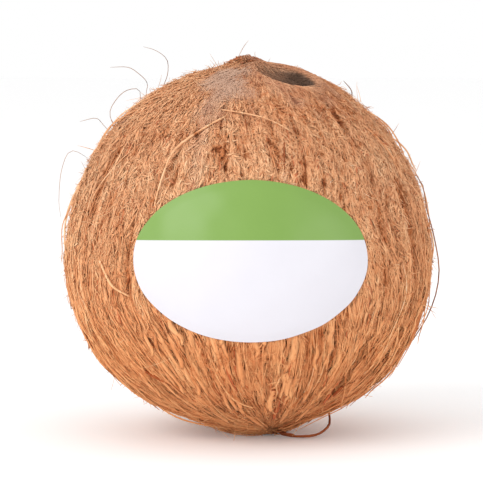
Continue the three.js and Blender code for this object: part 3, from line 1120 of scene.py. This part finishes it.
# %% Laying a layer of fibres
def lay(name, seed, count, fibre, length, width, spread, bend, lift, arch, thickness,
        tint=(0.5, 0.08), rising=(0.1, 0.3, 1.0), way=down_the_fibre, flatness=0.7, rust=0.04,
        patch=WHOLE_FRUIT):
    """Lays a layer. Length, width, lift and arch are (least, most) in mm; spread and bend
    are in degrees; rising is a share of the fibres and how far their tips stand up."""
    random = np.random.default_rng(seed)
    stations = fibre["stations"]
    directions = chosen_places(random, count, thickness, patch)
    count = len(directions)
    wildness = spread(directions) if callable(spread) else spread
    turn = (0.12 * soft_noise(directions, 21, 30)
            + np.radians(wildness) * random.normal(size=count))
    paths = walk(directions, way, turn, np.radians(bend) * random.normal(size=count),
                 random.uniform(*length, count), stations)
    along = np.linspace(0, 1, stations)
    lifts = random.uniform(*lift, count)[:, None] + relief(paths)
    lifts = lifts + random.uniform(*arch, count)[:, None] * np.sin(math.pi * along)
    share, least, most = rising
    tips = np.where(random.uniform(size=count) < share, random.uniform(least, most, count), 0)
    lifts = lifts + tips[:, None] * along ** 2
    tints = tints_at(random, directions, *tint)
    return pieces_of_fibres(name, fibre, paths, lifts, random.uniform(*width, count), tints,
                            rust_at(random, count, rust), flatness)


# %% [markdown]
# The coat is built up as it would be seen through a magnifier. Flat fibres lie along the
# husk and cover most of its lower part. On the upper part they are worn to a mat of short
# pieces, with dark pits between. Small tufts and a thin frizz of curly fibres, which lie
# every way, go over all of it. First comes where each of them is thick and how wildly it
# lies.

# %% Where the coat is thick
CROWN_EDGE = 13  # the layers thin out from twice this far from the dish's middle, in mm


def upper_part(directions, low=-0.35, high=0.35):
    return smooth_step(directions[..., 2], low, high)


def off_the_crown(directions):
    return smooth_step(from_crown(directions), CROWN_EDGE, 2 * CROWN_EDGE)


def outside_the_pits(directions):
    return 1 - smooth_step(sampled(PITS, directions), 0.4, 1.2)


def kept_clear(share, directions):
    """A share of the full thickness, less in the felt, on the crown and in the pits."""
    share = share * (1 - felt_share(directions)) * off_the_crown(directions)
    return share * outside_the_pits(directions)


def coat_thickness(directions):
    unworn = 1 - 0.68 * upper_part(directions)
    unworn = unworn * (1 - 0.3 * felt_share(directions))
    unworn = unworn * (0.15 + 0.85 * off_the_crown(directions))
    return unworn * smooth_step(from_crown(directions), 15, 19)


def mat_thickness(directions):
    return kept_clear(0.04 + 0.96 * upper_part(directions, -0.5, 0.2), directions)


def tuft_thickness(directions):
    return kept_clear(0.3 + 0.7 * upper_part(directions, -0.75, 0.0), directions)


def frizz_thickness(directions):
    share = (0.45 + 0.55 * upper_part(directions)) * (1 - 0.85 * felt_share(directions))
    return share * off_the_crown(directions)


def coat_spread(directions):
    return 6 + 13 * upper_part(directions)


def tuft_spread(directions):
    return 18 + 24 * upper_part(directions)


# %% [markdown]
# Now the four layers of the coat are laid, from the flattest to the loosest. The flat ones
# are wide and lie half in the husk, which leaves no gap under them. Each layer covers only
# a part of the one below, as on the real fruit.

# %% The coat
fibres = []
fibres += lay("coat", 101, 9600, long_fibre, length=(6, 16), width=(0.6, 1.3),
              spread=coat_spread, bend=14, lift=(-0.25, -0.05), arch=(0, 0.1),
              thickness=coat_thickness, tint=(0.55, 0.04), flatness=0.22)
fibres += lay("mat", 104, 6600, short_fibre, length=(2.4, 6.0), width=(0.7, 1.4),
              spread=20, bend=50, lift=(-0.2, 0.0), arch=(0, 0.1),
              thickness=mat_thickness, tint=(0.56, 0.04), flatness=0.22, rust=0.05)
fibres += lay("tufts", 102, 17000, short_fibre, length=(1.3, 4.2), width=(0.35, 0.95),
              spread=tuft_spread, bend=70, lift=(-0.05, 0.15), arch=(0, 0.1),
              thickness=tuft_thickness, tint=(0.59, 0.045), flatness=0.24, rust=0.06)
fibres += lay("frizz", 103, 3800, curly_fibre, length=(2.5, 6), width=(0.15, 0.25),
              spread=60, bend=110, lift=(0.1, 0.5), arch=(0, 0.4),
              thickness=frizz_thickness, tint=(0.62, 0.08), rising=(0.25, 0.3, 1.2))


# %% [markdown]
# Long strands run down the lower half to the tuft, among flat peeling bands of fibre. They
# are laid along the lines themselves, so that they gather where the lines do. A walk, as
# the short fibres take, would stray from the lines over such a length.

# %% Long strands and bands
SPARE_LINES = 4  # how many are drawn for each one that is wanted


def lay_long(name, seed, count, fibre, starts, lengths, width, lift, arch, tint, flatness,
             thickness, drift=0.05, free=0.15, rust=0.05):
    """Fibres along the lines; starts and lengths are (least, most) angles down the line,
    and free is the share of them whose tips stand up."""
    random = np.random.default_rng(seed)
    drawn = SPARE_LINES * count
    line = random.uniform(0, 2 * math.pi, drawn)
    start = random.uniform(*starts, drawn)
    length = random.uniform(*lengths, drawn)
    middles = on_line(line, start + length / 2)
    kept = np.flatnonzero(random.uniform(size=drawn) < thickness(middles))[:count]
    line, start, length, middles = line[kept], start[kept], length[kept], middles[kept]
    count = len(kept)
    along = np.linspace(0, 1, fibre["stations"])
    polar = np.minimum(start[:, None] + length[:, None] * along, math.pi - 0.05)
    phase, turns = random.uniform(0, 2 * math.pi, count), random.uniform(1, 2.4, count)
    aside = drift * random.normal(size=count)[:, None] * along
    aside = aside + 0.012 * np.sin(2 * math.pi * turns[:, None] * along + phase[:, None])
    paths = on_line(line[:, None] + aside, polar)
    lifts = (random.uniform(*lift, count)[:, None] + relief(paths)
             + random.uniform(*arch, count)[:, None] * np.sin(math.pi * along) ** 2)
    tips = np.where(random.uniform(size=count) < free, random.uniform(0.6, 2.5, count), 0)
    lifts = lifts + tips[:, None] * along ** 3
    tints = tints_at(random, middles, *tint)
    return pieces_of_fibres(name, fibre, paths, lifts, random.uniform(*width, count), tints,
                            rust_at(random, count, rust), flatness)


def sides_and_base(directions):
    return 1 - 0.85 * upper_part(directions, -0.5, 0.3)


def base(directions):
    return 1 - upper_part(directions, -0.6, 0.1)


fibres += lay_long("bands", 111, 900, strand_fibre, starts=(1.4, 2.5), lengths=(0.2, 0.6),
                   width=(1.6, 3.2), lift=(-0.35, 0.0), arch=(0, 0.1), tint=(0.56, 0.05),
                   flatness=0.16, thickness=base, rust=0.012)
fibres += lay_long("strands", 112, 420, strand_fibre, starts=(0.5, 2.4), lengths=(0.3, 1.1),
                   width=(0.3, 0.6), lift=(0.0, 0.35), arch=(0, 0.4), tint=(0.6, 0.12),
                   flatness=0.8, thickness=sides_and_base)


# %% [markdown]
# The crown has its own fibres. Fine ones lie flat and close round the dish, as felt does,
# and grey ones cover the crown and the smooth streak beside it. Each of these layers is
# confined to a patch, so that no places are drawn in vain on the rest of the fruit.

# %% Felt round the crown
RIM_PATCH = (CROWN_DIRECTION, 17)  # an axis, and how far round it the patch reaches in mm
CROWN_PATCH = (CROWN_DIRECTION, 30)
STREAK_PATCH = (seen_direction(-10, 42), 34)


def round_the_dish(directions):
    distance = from_crown(directions)
    return smooth_step(distance, 9, 10) * (1 - smooth_step(distance, 13, 17))


def over_the_crown(directions):
    distance = from_crown(directions)
    return smooth_step(distance, 12.5, 17) * (1 - smooth_step(distance, 20, 30))


fibres += lay("rim_felt", 121, 1500, long_fibre, length=(3, 7), width=(0.2, 0.36),
              spread=18, bend=30, lift=(-0.2, 0.05), arch=(0, 0.05),
              thickness=round_the_dish, tint=(0.4, 0.025), rising=(0, 0, 0),
              way=round_the_crown, patch=RIM_PATCH)
fibres += lay("crown_felt", 123, 3400, curly_fibre, length=(2, 5), width=(0.2, 0.4),
              spread=34, bend=60, lift=(-0.2, 0.1), arch=(0, 0.1),
              thickness=over_the_crown, tint=(0.44, 0.035), rising=(0.05, 0.2, 0.6),
              way=round_the_crown, patch=CROWN_PATCH)
fibres += lay("felt", 125, 2600, curly_fibre, length=(3, 8), width=(0.22, 0.42),
              spread=24, bend=60, lift=(-0.1, 0.25), arch=(0, 0.15),
              thickness=felt_share, tint=(0.5, 0.05), rising=(0.05, 0.3, 0.8),
              patch=STREAK_PATCH)


# %% [markdown]
# Two small places finish the crown. Short stubs, half of them reddish, stand on the peak,
# where the fibres look torn off, and a few dark hairs lie on the floor of the dish. That
# floor can hardly be seen in the photograph, so its hairs are a guess.

# %% The peak and the floor of the dish
PEAK_PATCH = (PEAK_DIRECTION, 9)
DISH_PATCH = (CROWN_DIRECTION, 9)


def on_the_peak(directions):
    return np.exp(-(distance_from(directions, PEAK_DIRECTION) / 4) ** 2)


def in_the_dish(directions):
    return 1 - smooth_step(from_crown(directions), 6.2, 9)


fibres += lay("peak_tip", 124, 170, short_fibre, length=(1.5, 4), width=(0.3, 0.6),
              spread=40, bend=60, lift=(-0.1, 0.4), arch=(0, 0.2),
              thickness=on_the_peak, tint=(0.36, 0.1), rising=(0.12, 0.3, 0.8), rust=0.5,
              patch=PEAK_PATCH)
fibres += lay("dish_hair", 122, 320, curly_fibre, length=(2, 4), width=(0.16, 0.3),
              spread=60, bend=60, lift=(-0.1, 0.2), arch=(0, 0.2),
              thickness=in_the_dish, tint=(0.4, 0.15), rising=(0, 0, 0), rust=0.0,
              patch=DISH_PATCH)


# %% [markdown]
# Some strands are placed one by one. Their points are given in millimetres across and up
# from the middle, as the camera sees them, with a height over the husk, and a smooth curve
# is led through the points. A Bezier curve with a bevel could make such a strand as well,
# but the same modelled fibre, copied along the curve, keeps the looks of the others.

# %% Curves through given points
CURVE_STEPS = 12  # between two given points, before the curve is made even


def seen_point(across, up, lift):
    """A point of a placed strand. One past the outline hangs in the air at its own place."""
    direction = seen_direction(across, up)
    if lift > 0:
        lift += relief(direction)
    for _ in range(4):
        direction = seen_direction(across, up, husk_radius(direction) + lift)
    reach = math.hypot(across, up)
    if lift == 0 and reach > husk_radius(direction):
        return MIDDLE + direction * reach
    return MIDDLE + direction * (husk_radius(direction) + lift)


def smooth_curve(points, stations):
    """Evenly spaced points of a curve led smoothly through the given ones."""
    points = np.array(points)
    full = np.vstack([2 * points[0] - points[1], points, 2 * points[-1] - points[-2]])
    fine = []
    for before, start, finish, after in zip(full, full[1:], full[2:], full[3:]):
        for t in np.linspace(0, 1, CURVE_STEPS, endpoint=False):
            fine.append(0.5 * (2 * start + (finish - before) * t
                               + (2 * before - 5 * start + 4 * finish - after) * t ** 2
                               + (3 * start - before - 3 * finish + after) * t ** 3))
    fine = np.array([*fine, points[-1]])
    travelled = np.concatenate([[0], np.cumsum(np.linalg.norm(np.diff(fine, axis=0), axis=1))])
    even = np.linspace(0, travelled[-1], stations)
    return np.stack([np.interp(even, travelled, fine[:, axis]) for axis in range(3)], -1)


def add_strands(name, curves, widths, tints, rust, grey):
    points = np.array([smooth_curve(curve, strand_fibre["stations"]) for curve in curves])
    outward = unit(points - MIDDLE)
    extras = dict(rust=np.array(rust), felt=np.zeros(len(points)), dish=np.array(grey))
    piece = copy_fibres(name, strand_fibre, points * MM, outward, np.array(widths),
                        np.array(tints), 0.9, extras)
    piece.data.materials.append(FIBRE_FINISH)
    print(name, len(curves), "strands")
    return piece


# %% [markdown]
# These are the strands that give this fruit its own face: the pale arch over the sticker's corner,
# the strand that crosses above it, the flap beside it, the dark strand that stands off the right
# side, and the curls at the upper left. A few dark strands are laid the same way along creases,
# where they paint the creases' shade as well as dark fibre. A height of 0 lets a point hang in the
# air, and the ends go down into the husk.

# %% Strands placed one by one
PLACED = [  # width, tint, rust, grey, points
    # the pale arch, the crossing strand and the flap
    (1.0, 0.74, 0.0, 0.0, [(-28, 9, -1.8), (-27.5, 12.5, 0.7), (-25.4, 19.9, 1.6), (-22.3, 27.2, 2),
                           (-15.6, 32.7, 1.6), (-7.7, 37.3, 0.8), (-5, 38.4, -1.8)]),
    (0.6, 0.78, 0.0, 0.0, [(-9.5, 39.8, -1.8), (-7, 39.6, 0.8), (-2, 38.7, 1.3),
                           (5, 37, 1.3), (11.6, 33.7, 0.8), (14.5, 31, -1.8)]),
    (1.0, 0.76, 0.0, 0.0, [(-45.5, -3.5, -1.8), (-44.1, -6.1, 0.5), (-40.7, -12.5, 1.2),
                           (-36, -15.4, 0.6), (-33.5, -16.4, -1.6)]),
    # the dark strand at the right
    (0.55, 0.2, 0.1, 0.4, [(50.5, 23, -1.8), (53.6, 19.9, 0), (55.6, 10.1, 0), (57.4, 3.7, 0),
                           (59.2, -6, 0), (59, -12.5, 0), (57.3, -19, 0), (54.2, -25.4, 0),
                           (47.8, -34.3, 0), (43.5, -37.5, -1.8)]),
    # the curls at the upper left
    (0.26, 0.5, 0.0, 0.6, [(-27, 44.5, -1.8), (-26.6, 48.3, 0), (-25.1, 52.9, 0),
                           (-25.4, 57.2, 0), (-28.8, 60, 0), (-32.7, 61.2, 0)]),
    (0.26, 0.5, 0.0, 0.6, [(-31, 43.5, -1.8), (-31.8, 46.5, 0), (-31.5, 49.9, 0),
                           (-34.3, 52.9, 0), (-37.6, 54.8, 0), (-43.1, 54.8, 0)]),
    (0.28, 0.5, 0.0, 0.6, [(-33.5, 41.5, -1.8), (-33.6, 45.5, 0), (-34.3, 48, 0),
                           (-38.3, 47.4, 0), (-41.6, 44.1, 0), (-43.1, 40.1, 0),
                           (-42.5, 35.5, -1.8)]),
    (0.24, 0.5, 0.0, 0.6, [(-43, 34, -1.8), (-44.9, 36.6, 0), (-47.5, 38.9, 0),
                           (-52.5, 37.9, 0)]),
    (0.22, 0.6, 0.0, 0.5, [(-51.5, 27, -1.8), (-54.9, 28.8, 0), (-58.1, 23, 0), (-59, 13.5, 0),
                           (-58.4, 8, 0)]),
    # the grey spike at the upper right
    (0.45, 0.4, 0.0, 0.7, [(34.5, 42, -1.8), (33, 45.5, 0.6), (32, 47.6, 0), (29.6, 50.6, 0)]),
    # dark strands for painted crease shade and dark fibre: two above the sticker, then those of the
    # lower part
    (0.6, 0.0, 0.1, 0.1, [(10, 33, -0.6), (10.5, 29, 0.35), (10.4, 24, 0.4), (10.6, 20, -0.5)]),
    (0.5, 0.0, 0.1, 0.1, [(0.5, 42, -0.6), (-1, 38, 0.35), (-0.6, 34, 0.35), (0, 31, -0.5)]),
    (1.1, 0.0, 0.2, 0.0, [(-33, -37, -0.8), (-29, -39.5, 0.3), (-25, -41.5, 0.35),
                          (-21.5, -43.5, -0.8)]),
    (0.8, 0.0, 0.2, 0.0, [(-27, -34, -0.8), (-25, -37.5, 0.3), (-22, -41, 0.3),
                          (-19, -44.5, -0.8)]),
    (0.7, 0.0, 0.3, 0.0, [(-47.7, -33.4, -0.8), (-44.7, -37.6, 0.5), (-41.9, -41.3, 0.6),
                          (-37.9, -43.8, -0.8)]),
    (1.1, 0.0, 0.2, 0.0, [(24, -47.5, -0.8), (26, -45.5, 0.35), (28, -43.3, 0.4),
                          (30, -41, -0.8)]),
    (1.3, 0.0, 0.35, 0.0, [(22, -52, -0.8), (26, -50, 0.35), (29, -47.8, 0.4),
                           (32, -45, -0.8)]),
    (0.5, 0.0, 0.1, 0.1, [(6.2, -43.4, -0.4), (7, -43.6, 0.35), (7.8, -43.6, 0.35),
                          (8.6, -43.4, -0.4)]),
    (0.5, 0.0, 0.1, 0.1, [(6.4, -45.2, -0.4), (7.2, -45.4, 0.35), (8, -45.4, 0.35),
                          (8.8, -45.2, -0.4)]),
    (0.6, 0.0, 0.1, 0.1, [(6.4, -47.2, -0.4), (7.2, -47.4, 0.35), (8, -47.4, 0.35),
                          (8.8, -47.2, -0.4)]),
]

placed_curves = [[seen_point(*point) for point in strand[4]] for strand in PLACED]
placed_looks = list(zip(*[strand[:4] for strand in PLACED]))
fibres.append(add_strands("placed_strands", placed_curves, *placed_looks))


# %% [markdown]
# A thick dark loop of fibre hangs out under the tuft and curls back into it, with a short
# knot across its root. It is in the air and near the floor, so its points are given in the
# frame itself, in millimetres.

# %% The loop under the tuft
LOOP = [(5.5, -4, 4), (6.5, -8.5, 1.1), (9, -13, 0.6), (13.5, -15, 0.6), (17.6, -14.2, 0.9),
        (20.8, -11, 2.2), (22.3, -7.5, 4.2), (21.5, -4, 10)]
KNOT = [(5.5, -5, 2.5), (6.5, -9, 1.2), (8, -12, 0.9), (11, -14, 0.9)]

fibres.append(add_strands("loop", [LOOP, KNOT], widths=[1.1, 1.7], tints=[0.0, 0.0],
                          rust=[0.3, 0.4], grey=[0.25, 0.1]))


# %% [markdown]
# Loose strands lie all round the fruit, spread evenly. Some bridge from root to root, and
# others end in a free tip. The numbers come from a small generator that is written out
# here, so that the strands stand where they stand on the solid part.

# %% Loose strands all round
LOOSE_STRANDS = 58
LOOSE_SEED = 41
AROUND_STEP = 0.7549  # each strand stands this share of the way round from the last one,
DOWN_STEP = 0.5698  # and this share of the way down; the two steps keep them all apart
LOOSE_SHARES = np.array([0, 0.14, 0.5, 0.86, 1])  # where a strand's five points lie on it
ROOT = -1.8  # the height of a hidden end, in mm over the husk
LOWEST = 0.6  # and the least height of what is seen


def seeded_numbers(seed):
    """Numbers from 0 to 1, always the same ones for a seed."""
    def times(one, other):
        return (one * other) & 0xFFFFFFFF

    state = seed
    while True:
        state = (state + 0x6D2B79F5) & 0xFFFFFFFF
        mixed = times(state ^ (state >> 15), 1 | state)
        mixed = ((mixed + times(mixed ^ (mixed >> 7), 61 | mixed)) & 0xFFFFFFFF) ^ mixed
        yield (mixed ^ (mixed >> 14)) / 2 ** 32


def loose_curves():
    numbers = seeded_numbers(LOOSE_SEED)
    curves = []
    for count in range(LOOSE_STRANDS):
        azimuth = 2 * math.pi * ((count * AROUND_STEP) % 1)
        start = 0.45 + 1.85 * ((count * DOWN_STEP) % 1)
        length = 0.35 + 0.35 * next(numbers)
        drift = 0.25 * (2 * next(numbers) - 1)
        arch = 1.4 + 1.2 * next(numbers)
        tip = 2 + 2 * next(numbers) if next(numbers) < 0.35 else ROOT
        lifts = np.array([ROOT, LOWEST, arch, max(LOWEST, 0.7 * tip), tip])
        directions = fibre_direction(azimuth + drift * LOOSE_SHARES ** 2,
                                     start + length * LOOSE_SHARES,
                                     CROWN_DIRECTION, TUFT_DIRECTION)
        if (sticker_reach(directions) > BED_BLEND).all():
            curves.append(on_husk(directions, lifts) / MM)
    return curves


loose = loose_curves()
random = np.random.default_rng(131)
no_share = np.zeros(len(loose))
fibres.append(add_strands("loose_strands", loose, random.uniform(0.4, 0.8, len(loose)),
                          random.uniform(0.45, 0.85, len(loose)), no_share, no_share))


# %% [markdown]
# Fine hairs stand off the fruit everywhere and catch the light along its outline: a few
# long ones, and a short fuzz between them. Both are real mesh too, because a hair that is
# only painted on can't be seen against the light.

# %% Fine hairs
def hairy_share(directions):
    return (off_the_crown(directions) * smooth_step(sticker_reach(directions), 1.1, 1.2)
            * (0.65 + 0.35 * upper_part(directions)))


def add_hairs(seed, count):
    random = np.random.default_rng(seed)
    roots = chosen_places(random, count, hairy_share)
    count = len(roots)
    stations = hair_fibre["stations"]
    paths = walk(roots, down_the_fibre, random.uniform(-math.pi, math.pi, count),
                 1.2 * random.normal(size=count), random.uniform(3, 11, count), stations)
    along = np.linspace(0, 1, stations)
    lifts = -0.6 + random.gamma(2.2, 1.1, count).clip(0.8, 7)[:, None] * along ** 1.3
    widths = random.uniform(0.14, 0.24, count)
    tints = random.uniform(0.55, 0.95, count)
    return pieces_of_fibres("hairs", hair_fibre, paths, lifts, widths, tints, np.zeros(count))


fibres += add_hairs(141, 620)
fibres += lay("fuzz", 142, 2200, curly_fibre, length=(1.6, 4.5), width=(0.14, 0.22),
              spread=70, bend=70, lift=(-0.1, 0.2), arch=(0, 0.2),
              thickness=hairy_share, tint=(0.7, 0.1), rising=(0.9, 0.5, 2.4))


# %% [markdown]
# The sticker is a thin film on the husk. It starts as a filled circle. Insetting it again
# and again gives it rings of small faces, which it needs to bend both ways.

# %% The film
STICKER_RINGS = 26
STICKER_STEPS = 160
INNERMOST_RING = 0.06  # its radius as a share of the sticker's


def model_film():
    """A flat disc of radius 1, made of rings."""
    bpy.ops.object.select_all(action="DESELECT")
    bpy.ops.mesh.primitive_circle_add(vertices=STICKER_STEPS, radius=1, fill_type="NGON")
    film = bpy.context.object
    film.name = "sticker"
    bpy.ops.object.mode_set(mode="EDIT")
    bpy.ops.mesh.select_all(action="SELECT")
    for _ in range(STICKER_RINGS):
        bpy.ops.mesh.inset(thickness=(1 - INNERMOST_RING) / STICKER_RINGS, depth=0)
    bpy.ops.mesh.poke()
    bpy.ops.object.mode_set(mode="OBJECT")
    return film


sticker = model_film()
print("faces in the flat film", len(sticker.data.polygons))


# %% [markdown]
# Every vertex of the film is laid over the fruit by the same formula as the husk, with a
# faint ripple and a lower edge, as a sticker has on an uneven ground. A Shrinkwrap modifier
# would press it into every furrow. Solidify gives it its thickness.

# %% Laying the film on the husk
STICKER_LIFT = 0.95  # of its outer face over the bed
STICKER_THICKNESS = 0.25
EDGE_DROP = 0.25  # how much closer the edge lies to the husk
RIPPLE = 0.1
DIVIDE_UP = 5.9  # the two fields meet this far over the sticker's middle, in mm,
DIVIDE_SAG = 0.9  # and this much lower at its ends


def lay_over_the_husk(film):
    mesh = film.data
    place = np.empty(3 * len(mesh.vertices))
    mesh.vertices.foreach_get("co", place)
    place = place.reshape(-1, 3)
    across = place[:, 0] * STICKER_HALF_WIDTH
    up = place[:, 1] * STICKER_HALF_HEIGHT
    depth = np.sqrt(WAIST_RADIUS ** 2 - across ** 2 - up ** 2)
    directions = unit(depth[:, None] * STICKER_OUT + across[:, None] * STICKER_ALONG
                      + up[:, None] * STICKER_UP)
    edge = smooth_step(np.hypot(place[:, 0], place[:, 1]), 0.9, 1.0)
    ripple = RIPPLE * soft_noise(directions, 61, 13)
    points = on_husk(directions, STICKER_LIFT + ripple - EDGE_DROP * edge)
    mesh.vertices.foreach_set("co", points.ravel())
    divide = DIVIDE_UP - DIVIDE_SAG * place[:, 0] ** 2
    store(mesh, "over_divide", up - divide)
    mesh.update()


def thicken(film):
    """Turns the faces outwards first, so that the thickness goes inwards."""
    bpy.ops.object.mode_set(mode="EDIT")
    bpy.ops.mesh.select_all(action="SELECT")
    bpy.ops.mesh.normals_make_consistent(inside=False)
    bpy.ops.object.mode_set(mode="OBJECT")
    facing = np.mean([face.normal @ Vector(STICKER_OUT) for face in film.data.polygons])
    if facing < 0:
        film.data.flip_normals()
    solid = film.modifiers.new("thickness", "SOLIDIFY")
    solid.thickness = STICKER_THICKNESS * MM
    solid.offset = -1
    bpy.ops.object.modifier_apply(modifier=solid.name)
    bpy.ops.object.shade_smooth_by_angle(angle=math.radians(40))


lay_over_the_husk(sticker)
thicken(sticker)
print("sticker faces", len(sticker.data.polygons))


# %% [markdown]
# The film is printed with a green field over a white one. They meet in a line that sags a
# little, and a value stored on the mesh says how far over that line a point lies. It is a
# smooth plastic with a slight gloss, so it is less rough than the husk, with a faint
# cloudiness and a very fine grain.

# %% The sticker's material
GREENS = [colour(113, 149, 66), colour(121, 156, 72)]
WHITES = [colour(210, 208, 215), colour(217, 215, 222)]
DIVIDE_BLUR = 0.08  # in mm to each side of the line


def sticker_material():
    material, tree, shader = new_material("sticker film")
    over_divide = read_value(tree, "over_divide")
    upper = remapped(tree, over_divide, -DIVIDE_BLUR, DIVIDE_BLUR, 0, 1)
    where = tree.nodes.new("ShaderNodeTexCoord").outputs["Object"]
    cloud = noise(tree, where, 60, 4)
    white_field = mix_colour(tree, cloud, *WHITES)
    green_field = mix_colour(tree, cloud, *GREENS)
    printed = mix_colour(tree, upper, white_field, green_field)
    tree.links.new(printed, shader.inputs["Base Color"])
    tree.links.new(remapped(tree, cloud, 0.3, 0.7, 0.34, 0.46), shader.inputs["Roughness"])
    bumped(tree, shader, noise(tree, where, 900, 2), 0.01)
    return material


sticker.data.materials.append(sticker_material())
print("materials", [material.name for material in bpy.data.materials])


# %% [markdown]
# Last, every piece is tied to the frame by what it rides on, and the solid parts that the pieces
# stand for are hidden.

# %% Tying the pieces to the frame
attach(husk, "root")
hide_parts("coconut")
for piece in fibres:
    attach(piece, "root")
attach(sticker, "root")
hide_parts("label")

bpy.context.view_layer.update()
